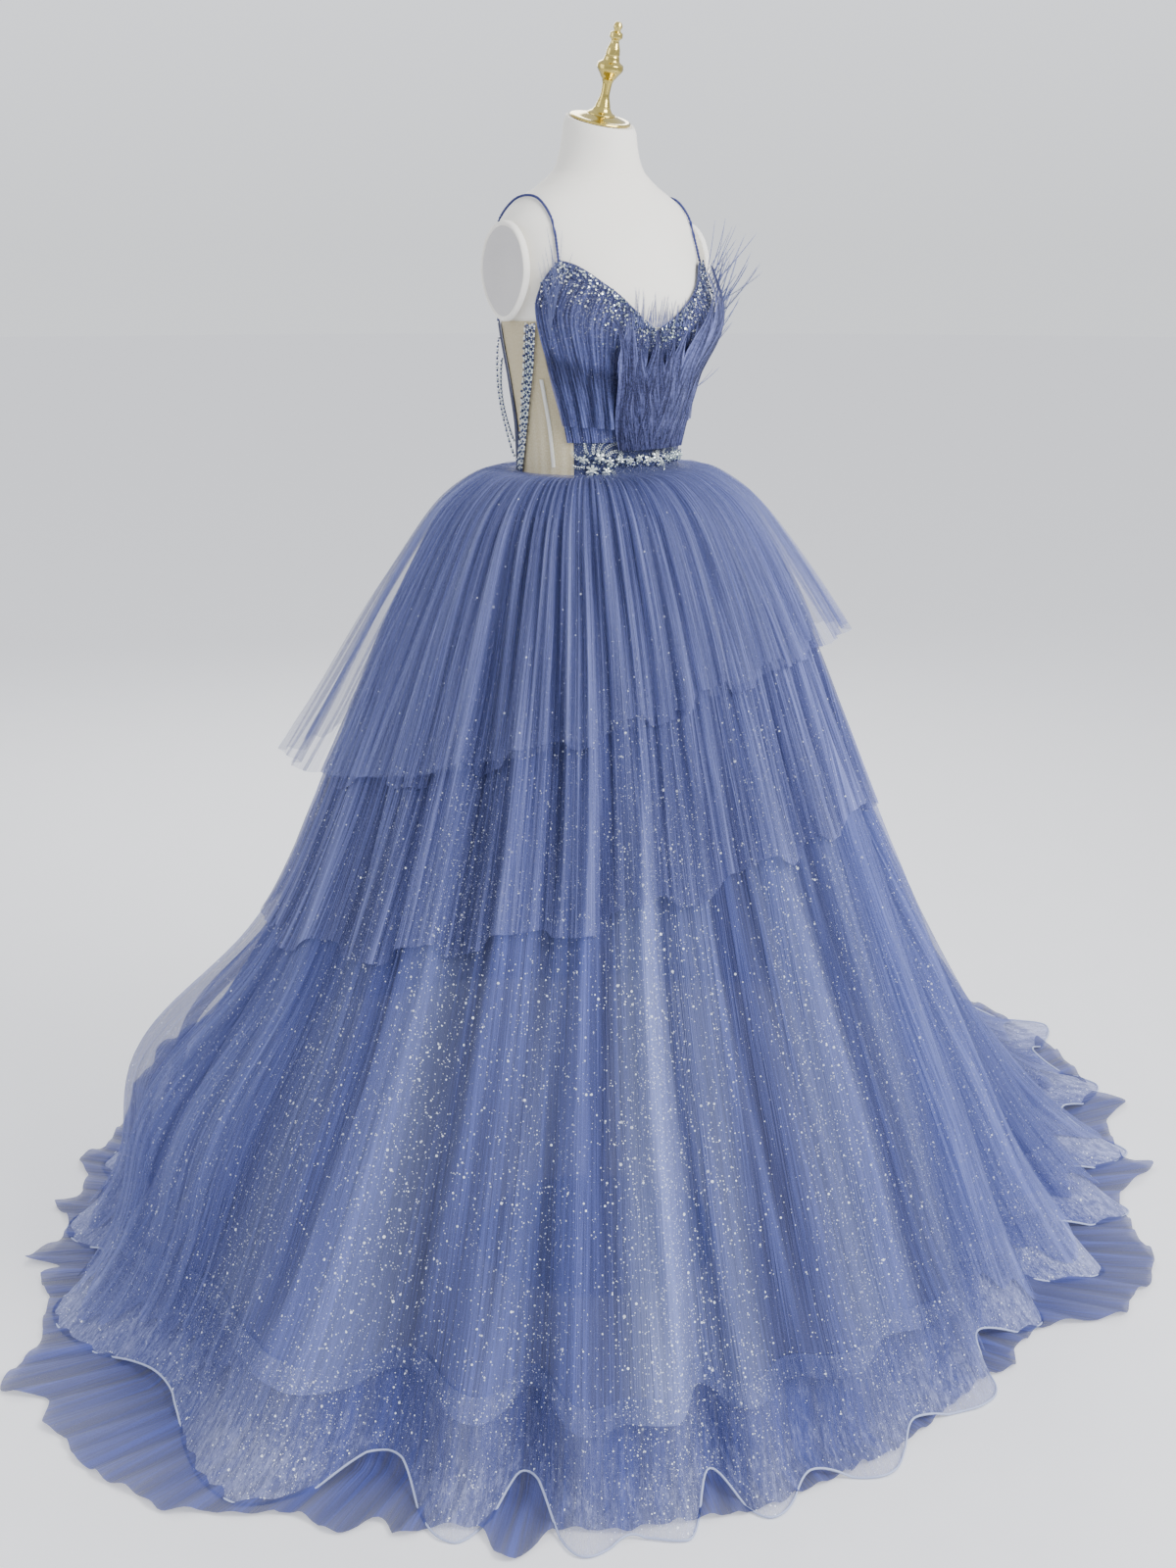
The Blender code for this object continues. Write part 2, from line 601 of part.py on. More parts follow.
def bridge_rings(bm, rings, closed, inside=False):
    """Triangles between rows of vertices that run round the body and down it.

    Every layer splits its cells along the same diagonal, so nested layers keep their distance.
    """
    for upper, lower in zip(rings, rings[1:]):
        count = len(upper) if closed else len(upper) - 1
        for j in range(count):
            k = (j + 1) % len(upper)
            for corners in ((upper[j], lower[j], lower[k]), (upper[j], lower[k], upper[k])):
                bm.faces.new(corners[::-1] if inside else corners)


def cloth_ring(name, inner_grid, outer_grid, material_name):
    """Cloth that runs all round, between an inner and an outer face."""
    bm = bmesh.new()
    inner = [[bm.verts.new(point) for point in row] for row in inner_grid]
    outer = [[bm.verts.new(point) for point in row] for row in outer_grid]
    bridge_rings(bm, outer, closed=True)
    bridge_rings(bm, inner, closed=True, inside=True)
    bridge_rings(bm, [inner[0], outer[0]], closed=True)
    bridge_rings(bm, [outer[-1], inner[-1]], closed=True)
    return add_bmesh(name, bm, material_name)


def skirt_layer(name, rings, material_name):
    """Skirt cloth from rows of (angle, level, distance out), its wall built outward."""
    inner = [[skirt_point(*place) for place in row] for row in rings]
    outer = [[point + skirt_normal(*place) * CLOTH_WALL for point, place in zip(points, row)]
             for points, row in zip(inner, rings)]
    return cloth_ring(name, inner, outer, material_name)


def cloth_panel(name, inner_grid, outer_grid, material_name):
    """Cut panel between a plain inner face and an outer face that may carry relief."""
    bm = bmesh.new()
    inner = [[bm.verts.new(point) for point in row] for row in inner_grid]
    outer = [[bm.verts.new(point) for point in row] for row in outer_grid]
    bridge_rings(bm, outer, closed=False)
    bridge_rings(bm, inner, closed=False, inside=True)
    rim_inner = inner[0][:-1] + [row[-1] for row in inner[:-1]] + inner[-1][:0:-1]
    rim_inner += [row[0] for row in inner[:0:-1]]
    rim_outer = outer[0][:-1] + [row[-1] for row in outer[:-1]] + outer[-1][:0:-1]
    rim_outer += [row[0] for row in outer[:0:-1]]
    for k, (a, b) in enumerate(zip(rim_inner, rim_outer)):
        c, d = rim_inner[(k + 1) % len(rim_inner)], rim_outer[(k + 1) % len(rim_outer)]
        bm.faces.new((a, c, d, b))
    bmesh.ops.recalc_face_normals(bm, faces=bm.faces)
    return add_bmesh(name, bm, material_name)


def panel_on_body(name, place, columns, rows, inner_out, wall, material_name, relief=None):
    """Panel from place(u, v) -> (degrees, height), with relief(u, v) added to its outer face."""
    inner, outer = [], []
    for row in range(rows + 1):
        v = row / rows
        inner_row, outer_row = [], []
        for column in range(columns + 1):
            u = column / columns
            deg, z = place(u, v)
            raised = relief(u, v) if relief else 0.0
            inner_row.append(body_point(deg, z, inner_out))
            outer_row.append(body_point(deg, z, inner_out + wall + raised))
        inner.append(inner_row)
        outer.append(outer_row)
    return cloth_panel(name, inner, outer, material_name)


def build_form_torso():
    bm = bmesh.new()
    rings = []
    for z in sorted(FORM_RING_Z, reverse=True):
        ring = []
        for column in range(FORM_COLUMNS):
            inset = FORM_INSET if z < FORM_INSET_TOP_Z else 0.0
            point = body_point(360.0 * column / FORM_COLUMNS, z, -inset)
            point.z = z
            point.x = max(-ARM_FLAT_X, min(ARM_FLAT_X, point.x))
            slope = min(1.0, max(0.0, (z - NECK_TILT_START_Z) / (NECK_TOP_Z - NECK_TILT_START_Z)))
            point.z += point.y * math.tan(NECK_TILT) * slope
            ring.append(bm.verts.new(point))
        rings.append(ring)
    bridge_rings(bm, rings, closed=True)
    bm.faces.new(rings[0])
    bm.faces.new(rings[-1][::-1])
    bmesh.ops.recalc_face_normals(bm, faces=bm.faces)
    return add_bmesh("form_torso", bm, "form_cloth")


def neck_frame(height):
    """Placement on the tilted neck cap, a distance above it."""
    cap = Vector((0.0, NECK_TOP_SHIFT, NECK_TOP_Z + NECK_TOP_SHIFT * math.tan(NECK_TILT)))
    turn = Matrix.Rotation(NECK_TILT, 4, "X")
    return Matrix.Translation(cap) @ turn @ Matrix.Translation((0.0, 0.0, height))


def build_disc(name, radius, thick, material_name, segments, bevel=0.0):
    bm = bmesh.new()
    bmesh.ops.create_cone(bm, cap_ends=True, segments=segments, radius1=radius, radius2=radius, depth=thick)
    obj = add_bmesh(name, bm, material_name)
    if bevel:
        edge = obj.modifiers.new("soft_edge", "BEVEL")
        edge.width = bevel
        edge.segments = 1
        edge.limit_method = "ANGLE"
    return obj


def build_neck_plate():
    plate = build_disc("neck_plate", NECK_PLATE_RADIUS, NECK_PLATE_THICK, "polished_gold",
                       NECK_PLATE_SEGMENTS, NECK_PLATE_EDGE)
    plate.matrix_world = neck_frame(SEAM_GAP + NECK_PLATE_THICK / 2.0)
    return plate


def build_finial():
    bm = bmesh.new()
    rings = []
    for section in reversed(FINIAL):
        ring = []
        for step in range(FINIAL_STEPS):
            angle = 2.0 * math.pi * step / FINIAL_STEPS
            ring.append(bm.verts.new((section.radius * math.cos(angle), section.radius * math.sin(angle),
                                      section.height)))
        rings.append(ring)
    bridge_rings(bm, rings, closed=True)
    bm.faces.new(rings[0])
    bm.faces.new(rings[-1][::-1])
    bmesh.ops.recalc_face_normals(bm, faces=bm.faces)
    finial = add_bmesh("neck_finial", bm, "polished_gold")
    finial.matrix_world = neck_frame(2.0 * SEAM_GAP + NECK_PLATE_THICK)
    return finial


def build_arm_plate(name, side):
    """Flat oval plate that closes the shoulder where the arm would start."""
    plate = build_disc(name, 1.0, ARM_PLATE_THICK, "form_plate_grey", ARM_PLATE_SEGMENTS)
    shape = Matrix.Diagonal((ARM_PLATE_HALF_HEIGHT, ARM_PLATE_HALF_DEPTH, 1.0, 1.0))
    plate.data.transform(shape)
    bevel = plate.modifiers.new("soft_edge", "BEVEL")
    bevel.width = ARM_PLATE_EDGE
    bevel.segments = 1
    bevel.limit_method = "ANGLE"
    x = side * (ARM_FLAT_X + SEAM_GAP + ARM_PLATE_THICK / 2.0)
    plate.location = (x, 0.0, ARM_PLATE_CENTRE_Z)
    plate.rotation_euler = (0.0, math.pi / 2.0, 0.0)
    return plate


def build_stand():
    base = build_disc("stand_base", BASE_RADIUS, BASE_HEIGHT, "stand_steel", BASE_SEGMENTS)
    base.location = (0.0, 0.0, BASE_HEIGHT / 2.0)
    length = FORM_BOTTOM_Z - BASE_HEIGHT - 2.0 * SEAM_GAP
    pole = build_disc("stand_pole", POLE_RADIUS, length, "stand_steel", POLE_SEGMENTS)
    pole.location = (0.0, 0.0, BASE_HEIGHT + SEAM_GAP + length / 2.0)
    return base, pole


def cup_place(side):
    """Cup outline: neckline above, curved outer edge, centre seam, level bottom."""
    def place(u, v):
        edge_z = CUP_OUTER_EDGE[-1].z + (CUP_BOTTOM_Z - CUP_OUTER_EDGE[-1].z) * v
        outer = column_of(CUP_OUTER_EDGE, "z", "deg", edge_z)
        neck_deg = NECKLINE[-1].deg + (CUP_CENTRE_DEG - NECKLINE[-1].deg) * u
        neck_z = column_of(NECKLINE, "deg", "z", neck_deg)
        return side * (outer + (CUP_CENTRE_DEG - outer) * u), neck_z + (CUP_BOTTOM_Z - neck_z) * v
    return place


def build_cup(name, side):
    def pleats(u, v):
        return CUP_PLEAT * (0.5 - 0.5 * math.cos(math.pi * CUP_COLUMNS * u)) * min(1.0, CUP_PLEAT_TOP + v)
    return panel_on_body(name, cup_place(side), CUP_COLUMNS, CUP_ROWS, CUP_IN, CLOTH_WALL,
                         "beaded_lace", pleats)


def band_place(edge, half_deg, top_z, bottom_z, side):
    """Strip of even width that follows an edge line down the body."""
    def place(u, v):
        z = top_z + (bottom_z - top_z) * v
        return side * (column_of(edge, "z", "deg", z) + half_deg * (2.0 * u - 1.0)), z
    return place


def build_bodice():
    def front(u, v):
        return FRONT_EDGE_DEG * (2.0 * u - 1.0), FRONT_TOP_Z + (BODICE_BOTTOM_Z - FRONT_TOP_Z) * v
    panel_on_body("bodice_front", front, 12, 4, CLOTH_CLEAR, MESH_WALL, "beaded_lace")

    for side, word in ((-1, "right"), (1, "left")):
        def side_place(u, v):
            deg = MESH_FRONT_DEG + (MESH_BACK_DEG - MESH_FRONT_DEG) * u
            return side * deg, MESH_TOP_Z + (SIDE_BOTTOM_Z - MESH_TOP_Z) * v

        def back_place(u, v):
            deg = BACK_START_DEG + (BACK_END_DEG - BACK_START_DEG) * u
            top = BACK_TOP_Z + (MESH_TOP_Z - BACK_TOP_Z) * (1.0 - u)
            return side * deg, top + (SIDE_BOTTOM_Z - top) * v

        build_cup(f"bodice_cup_{word}", side)
        panel_on_body(f"side_mesh_{word}", side_place, 7, 8, CLOTH_CLEAR, MESH_WALL, "illusion_mesh")
        panel_on_body(f"back_panel_{word}", back_place, 3, 8, CLOTH_CLEAR, CLOTH_WALL, "placket_satin")
        lace = band_place(LACE_EDGE, LACE_HALF_DEG, LACE_EDGE[-1].z, LACE_EDGE[0].z, side)
        panel_on_body(f"lace_strip_{word}", lace, 1, 8, TRIM_IN, LACE_WALL, "beaded_lace")
        boning = band_place(BONING_EDGE, BONING_HALF_DEG, BONING_EDGE[-1].z, BONING_EDGE[0].z, side)
        panel_on_body(f"boning_{word}", boning, 1, 6, TRIM_IN, BONING_WALL, "boning_tape")


def build_centre_drape():
    """Crinkled locks of tulle gathered from the bust in to the waist."""
    def place(u, v):
        left = DRAPE_TOP_EDGE_DEG[0] + (DRAPE_BOTTOM_EDGE_DEG[0] - DRAPE_TOP_EDGE_DEG[0]) * v
        right = DRAPE_TOP_EDGE_DEG[1] + (DRAPE_BOTTOM_EDGE_DEG[1] - DRAPE_TOP_EDGE_DEG[1]) * v
        return left + (right - left) * u, DRAPE_TOP_Z + (DRAPE_BOTTOM_Z - DRAPE_TOP_Z) * v

    def relief(u, v):
        deg, _ = place(u, v)
        height = 0.0
        for lock in LOCKS:
            centre = lock.top_deg + (lock.bottom_deg - lock.top_deg) * v
            width = lock.width_deg * (1.0 - LOCK_NARROWING * v)
            height = max(height, lock.height * bell(deg - centre, width))
        edge = min(1.0, DRAPE_EDGE_SLOPE * u, DRAPE_EDGE_SLOPE * (1.0 - u))
        edge *= min(1.0, DRAPE_TOP_START + DRAPE_TOP_SLOPE * v)
        return DRAPE_RELIEF * height * edge * (1.0 - LOCK_LOWERING * v)

    return panel_on_body("centre_drape", place, DRAPE_COLUMNS, DRAPE_ROWS, DRAPE_IN, CLOTH_WALL,
                         "sheer_tulle", relief)


def build_belt():
    def half_height(deg):
        extra = max(c.half_height * bell(deg - c.deg, c.half_deg) for c in CLUSTERS)
        return BELT_HALF_HEIGHT + extra

    def place(u, v):
        deg = BELT_HALF_DEG * (2.0 * u - 1.0)
        half = half_height(deg)
        low = BELT_CENTRE_Z - min(half, BELT_HALF_HEIGHT + BELT_HANG)
        high = BELT_CENTRE_Z + half
        return deg, high + (low - high) * v

    def beads(u, v):
        across = math.sin(math.pi * min(1.0, max(0.0, v)))
        along = BELT_BEAD_FLOOR + (1.0 - BELT_BEAD_FLOOR) * math.cos(math.pi * BELT_COLUMNS * u)
        return BELT_BEAD * across * along

    return panel_on_body("belt_applique", place, BELT_COLUMNS, 2, PANEL_OUT + SEAM_GAP, BELT_WALL, "crystal", beads)


def tube(name, points, radius, material_name, resolution):
    """Round cord along points, with closed ends."""
    curve = bpy.data.curves.new(name, "CURVE")
    curve.dimensions = "3D"
    curve.bevel_depth = radius
    curve.bevel_resolution = resolution
    curve.use_fill_caps = True
    spline = curve.splines.new("POLY")
    spline.points.add(len(points) - 1)
    for spline_point, point in zip(spline.points, points):
        spline_point.co = (*point, 1.0)
    return add_object(name, curve, material_name)


def shoulder_height(half_width):
    """Height on the shoulder's slope at which the form is this wide."""
    low, high = BODY[9].z, BODY[12].z
    for _ in range(30):
        middle = (low + high) / 2.0
        if column_of(BODY, "z", "half_width", middle) > half_width:
            low = middle
        else:
            high = middle
    return low


def over_shoulder(side):
    """Strap path from the cup's tip up the chest, over the shoulder and down the back."""
    out = STRAP_RADIUS + STRAP_CLEAR
    shoulder_z = shoulder_height(STRAP_X / math.sin(math.radians(STRAP_START_DEG)))
    path = []
    for k in range(STRAP_FRONT_STEPS):
        z = STRAP_FRONT_Z + (shoulder_z - STRAP_FRONT_Z) * k / STRAP_FRONT_STEPS
        path.append(body_point(side * STRAP_START_DEG, z, out))
    for k in range(STRAP_TOP_STEPS + 1):
        deg = STRAP_START_DEG + (180.0 - 2.0 * STRAP_START_DEG) * k / STRAP_TOP_STEPS
        z = shoulder_height(STRAP_X / math.sin(math.radians(deg)))
        path.append(body_point(side * deg, z, out))
    for k in range(1, STRAP_BACK_STEPS + 1):
        z = shoulder_z + (STRAP_BACK_Z - shoulder_z) * k / STRAP_BACK_STEPS
        deg = 180.0 - math.degrees(math.asin(STRAP_X / column_of(BODY, "z", "half_width", z)))
        path.append(body_point(side * deg, z, out))
    return path


def build_straps():
    for side, word in ((-1, "right"), (1, "left")):
        tube(f"strap_{word}", over_shoulder(side), STRAP_RADIUS, "glitter_tulle", 0)


def build_bead_strings():
    for side, word in ((-1, "right"), (1, "left")):
        for string in BEAD_STRINGS:
            points = []
            for k in range(BEAD_POINTS):
                t = k / (BEAD_POINTS - 1)
                z = string.top_z + (string.bottom_z - string.top_z) * t
                hang = string.swing * math.sin(math.pi * t) ** 0.8
                out = CLOTH_CLEAR + CLOTH_WALL + SEAM_GAP + BEAD_RADIUS + hang
                points.append(body_point(side * string.deg, z, out))
            tube(f"bead_string_{string.name}_{word}", points, BEAD_RADIUS, "crystal", 0)


def build_spray(spray):
    """Backing strip with one strand grown from each of its outer faces."""
    bm = bmesh.new()
    rows = []
    for k in range(spray.count + 1):
        t = k / spray.count
        deg = spray.start_deg + (spray.end_deg - spray.start_deg) * t
        z = spray.start_z + (spray.end_z - spray.start_z) * t
        near, far = body_point(deg, z, spray.out), body_point(deg, z, spray.out + STRIP_DEPTH)
        nxt = body_surface(spray.end_deg, spray.end_z) - body_surface(spray.start_deg, spray.start_z)
        across = (far - near).cross(nxt).normalized() * STRIP_HEIGHT / 2.0
        rows.append([bm.verts.new(p) for p in (near - across, far - across, far + across, near + across)])
    outer_faces = []
    for a, b in zip(rows, rows[1:]):
        for m in range(4):
            n = (m + 1) % 4
            face = bm.faces.new((a[m], a[n], b[n], b[m]))
            if m == 1:
                outer_faces.append(face)
    bm.faces.new(rows[0][::-1])
    bm.faces.new(rows[-1])
    bmesh.ops.recalc_face_normals(bm, faces=bm.faces)
    for k, face in enumerate(outer_faces):
        heading, outward = strand_heading(spray, (k + 0.5) / spray.count)
        grow_strand(bm, face, heading, outward, strand_length(spray, k))
    return add_bmesh(spray.name, bm, "feather", smooth=False)


def strand_length(spray, k):
    """Lengths vary in a steady, uneven rhythm."""
    rhythm = abs(math.sin(STRAND_RHYTHM * k + STRAND_PHASE))
    return spray.length * (STRAND_SHORTEST + (1.0 - STRAND_SHORTEST) * rhythm)


def strand_heading(spray, t):
    """Start direction of a strand: up the body and out from it, fanned along the strip."""
    middle = body_point((spray.start_deg + spray.end_deg) / 2.0, (spray.start_z + spray.end_z) / 2.0, 0.01)
    outward = (middle - body_surface((spray.start_deg + spray.end_deg) / 2.0, middle.z))
    outward = Vector((outward.x, outward.y, 0.0)).normalized()
    side = Vector((0.0, 0.0, 1.0)).cross(outward)
    fan = spray.sweep + spray.fan * (t - 0.5)
    heading = Vector((0.0, 0.0, 1.0)) * spray.up + outward * spray.outward + side * fan
    return heading.normalized(), outward


def grow_strand(bm, face, heading, outward, length):
    """Extrude a face into a tapering strand that arches up from its root."""
    tip = face
    for step in range(STRAND_STEPS):
        tip = bmesh.ops.extrude_discrete_faces(bm, faces=[tip])["faces"][0]
        along = length * (step + 0.5) / STRAND_STEPS
        bend = heading + outward * (STRAND_BOW - along * STRAND_CURL)
        bmesh.ops.translate(bm, verts=tip.verts, vec=bend.normalized() * length / STRAND_STEPS)
        centre = tip.calc_center_median()
        bmesh.ops.scale(bm, verts=tip.verts, vec=(STRAND_TAPER,) * 3, space=Matrix.Translation(-centre))


def build_skirts():
    skirt_layer("skirt_main", level_rings(MAIN_ROWS), "glitter_tulle")
    skirt_layer("hem_braid", level_rings(BRAID_ROWS), "hem_braid")
    skirt_layer("skirt_tier_lower", lower_tier_rings(), "glitter_tulle")
    skirt_layer("skirt_tier_upper", upper_tier_rings(), "glitter_tulle")
    skirt_layer("skirt_veil", veil_rings(), "sheer_tulle")
    cloth_ring("skirt_under_tulle", *under_tulle_faces(), "under_tulle")


def main():
    for obj in list(bpy.data.objects):
        bpy.data.objects.remove(obj, do_unlink=True)
    collection = bpy.data.collections.new(COLLECTION_NAME)
    bpy.context.scene.collection.children.link(collection)
    build_form_torso()
    build_arm_plate("arm_plate_right", -1)
    build_arm_plate("arm_plate_left", 1)
    build_neck_plate()
    build_finial()
    build_stand()
    build_bodice()
    build_centre_drape()
    build_belt()
    build_straps()
    build_bead_strings()
    for spray in SPRAYS:
        build_spray(spray)
    build_skirts()


main()
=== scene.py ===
"""Tiered high-low tulle gown on its dress form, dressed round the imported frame.

Metres, +Z up, the floor at z = 0. The gown's front faces -Y, the wearer's right side is at -X.
Angles round the body are degrees from the front, positive toward the wearer's left (+X).
"""

import json
import logging
import math
from collections.abc import Callable, Sequence
from dataclasses import dataclass, field
from enum import Enum
from functools import cache

import bmesh
import bpy
import numpy as np
from mathutils import Euler, Matrix, Vector

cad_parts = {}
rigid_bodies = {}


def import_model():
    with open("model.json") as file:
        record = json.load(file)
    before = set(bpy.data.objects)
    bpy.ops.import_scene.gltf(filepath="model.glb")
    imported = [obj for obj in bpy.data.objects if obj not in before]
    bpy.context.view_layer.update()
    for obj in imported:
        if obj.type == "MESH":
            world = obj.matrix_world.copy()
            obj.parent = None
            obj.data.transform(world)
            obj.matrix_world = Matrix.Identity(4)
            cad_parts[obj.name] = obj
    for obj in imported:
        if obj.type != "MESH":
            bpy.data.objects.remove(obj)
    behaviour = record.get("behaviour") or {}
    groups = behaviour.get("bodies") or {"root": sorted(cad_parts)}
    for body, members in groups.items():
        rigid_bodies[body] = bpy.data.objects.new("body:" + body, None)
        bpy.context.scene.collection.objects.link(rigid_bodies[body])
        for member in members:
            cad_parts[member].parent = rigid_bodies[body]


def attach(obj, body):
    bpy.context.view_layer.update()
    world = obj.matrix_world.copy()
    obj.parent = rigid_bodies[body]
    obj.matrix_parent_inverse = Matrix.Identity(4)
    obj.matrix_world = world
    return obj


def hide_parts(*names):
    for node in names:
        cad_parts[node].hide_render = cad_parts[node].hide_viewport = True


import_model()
LOG = logging.getLogger("gown")
BODY = "root"
Colour = tuple[float, float, float]
Array, Piece, Socket, Tree = np.ndarray, bpy.types.Object, bpy.types.NodeSocket, bpy.types.NodeTree
UP = Vector((0.0, 0.0, 1.0))
SIDES = ((-1.0, "right"), (1.0, "left"))


# Curves and noise --------------------

def smooth_curve(xs: Sequence[float], ys: Sequence[float], x: Array) -> Array:
    """Smooth curve through a table's points that never overshoots, its ends held.

    Args:
        xs: Keys, rising.
        ys: Values at the keys.
        x: Where the curve is read.

    Returns:
        The curve's values, in the shape of x.
    """
    xs, ys = np.asarray(xs, float), np.asarray(ys, float)
    x = np.clip(x, xs[0], xs[-1])
    width = np.diff(xs)
    slope = np.diff(ys) / width
    tangent = np.concatenate(([slope[0]], np.zeros(len(xs) - 2), [slope[-1]]))
    product, total = slope[:-1] * slope[1:], slope[:-1] + slope[1:]
    rising = product > 0.0
    tangent[1:-1][rising] = 2.0 * product[rising] / total[rising]
    i = np.clip(np.searchsorted(xs, x, side="right") - 1, 0, len(xs) - 2)
    t = (x - xs[i]) / width[i]
    start, end, rise = tangent[i] * width[i], tangent[i + 1] * width[i], ys[i + 1] - ys[i]
    return ys[i] + t * (start + t * (3.0 * rise - 2.0 * start - end + t * (start + end - 2.0 * rise)))


def bell(distance: Array, spread: float) -> Array:
    """Smooth bump of height 1 round zero."""
    return np.exp(-((distance / spread) ** 2))


def apart(a: Array, b: float) -> Array:
    """Smallest signed angle between directions, in degrees."""
    return (a - b + 180.0) % 360.0 - 180.0


def ramp(x: Array, low: float, high: float) -> Array:
    """Smooth step from 0 at low to 1 at high."""
    t = np.clip((x - low) / (high - low), 0.0, 1.0)
    return t * t * (3.0 - 2.0 * t)


def ring_folds(deg: Array, count: int, seed: int, uneven: float = 0.75) -> Array:
    """Ridges and valleys that alternate round the body, uneven in place and depth.

    Args:
        deg: Angles in degrees.
        count: Ridges round the whole turn.
        seed: Number that fixes the unevenness.
        uneven: Share by which the spacing and the depths vary.

    Returns:
        Heights from -1 to 1.
    """
    rng = np.random.default_rng(seed)
    knots = 2 * count
    places = np.arange(knots) + rng.uniform(-0.5, 0.5, knots) * uneven
    places = np.concatenate((places, places[:1] + knots)) * 360.0 / knots
    heights = np.where(np.arange(knots) % 2, -1.0, 1.0) * rng.uniform(1.0 - uneven, 1.0, knots)
    heights = np.append(heights, heights[0])
    phase = np.interp((deg - places[0]) % 360.0 + places[0], places, np.arange(knots + 1))
    i = np.minimum(phase.astype(int), knots - 1)
    t = ramp(phase - i, 0.0, 1.0)
    return heights[i] * (1.0 - t) + heights[i + 1] * t


# The shapes that the pieces are fitted on --------------------

@dataclass(frozen=True)
class FormShape:
    """Outside of the limbless form: rows of (height, half width, front depth, back depth)."""

    sections: tuple[tuple[float, ...], ...] = (
        (0.8, 0.15, 0.112, 0.112), (0.87, 0.16, 0.116, 0.12),
        (0.96, 0.15, 0.11, 0.114), (1.03, 0.128, 0.099, 0.1),
        (1.09, 0.113, 0.0895, 0.0895), (1.14, 0.1155, 0.0925, 0.088),
        (1.2, 0.125, 0.101, 0.09), (1.27, 0.139, 0.111, 0.096),
        (1.31, 0.145, 0.112, 0.099), (1.355, 0.149, 0.098, 0.101),
        (1.4, 0.146, 0.076, 0.098), (1.43, 0.122, 0.061, 0.084),
        (1.452, 0.086, 0.054, 0.064), (1.474, 0.06, 0.05, 0.052),
        (1.5, 0.051, 0.048, 0.047), (1.5335, 0.046, 0.045, 0.045),
    )
    bust_push: float = 0.021
    bust_deg: float = 36.0
    bust_spread_deg: float = 22.0
    bust_z: float = 1.285
    bust_spread_z: float = 0.048
    neck_z: float = 1.452
    neck_top_z: float = 1.5335
    neck_shift: float = -0.004

    def width_at(self, z: Array) -> Array:
        """Half width of the form at a height."""
        return smooth_curve([r[0] for r in self.sections], [r[1] for r in self.sections], z)

    def surface(self, deg: Array, z: Array) -> Array:
        """Points of the form's own surface.

        Args:
            deg: Angles from the front, in degrees.
            z: Heights in metres.

        Returns:
            Points in an array whose last axis is x, y, z.
        """
        deg, z = np.broadcast_arrays(np.asarray(deg, float), np.asarray(z, float))
        keys = [row[0] for row in self.sections]
        width, front, back = (smooth_curve(keys, [row[k] for row in self.sections], z) for k in (1, 2, 3))
        angle = np.radians(deg)
        depth = back + (front - back) * (1.0 + np.cos(angle)) / 2.0
        bust = self.bust_push * bell(np.abs(apart(deg, 0.0)) - self.bust_deg, self.bust_spread_deg)
        bust = bust * bell(z - self.bust_z, self.bust_spread_z)
        lean = self.neck_shift * np.maximum(0.0, (z - self.neck_z) / (self.neck_top_z - self.neck_z))
        return np.stack(((width + bust) * np.sin(angle), lean - (depth + bust) * np.cos(angle), z), axis=-1)

    def point(self, deg: Array, z: Array, out: Array = 0.0) -> Array:
        """Points moved out from the form along its own surface direction.

        Args:
            deg: Angles from the front, in degrees.
            z: Heights in metres.
            out: Distances out from the surface, in metres.

        Returns:
            Points in an array whose last axis is x, y, z.
        """
        deg, z, out = np.broadcast_arrays(np.asarray(deg, float), np.asarray(z, float), np.asarray(out, float))
        across = self.surface(deg + 1.0, z) - self.surface(deg - 1.0, z)
        down = self.surface(deg, z - 0.003) - self.surface(deg, z + 0.003)
        normal = np.cross(down, across)
        normal /= np.linalg.norm(normal, axis=-1, keepdims=True)
        return self.surface(deg, z) + normal * out[..., None]


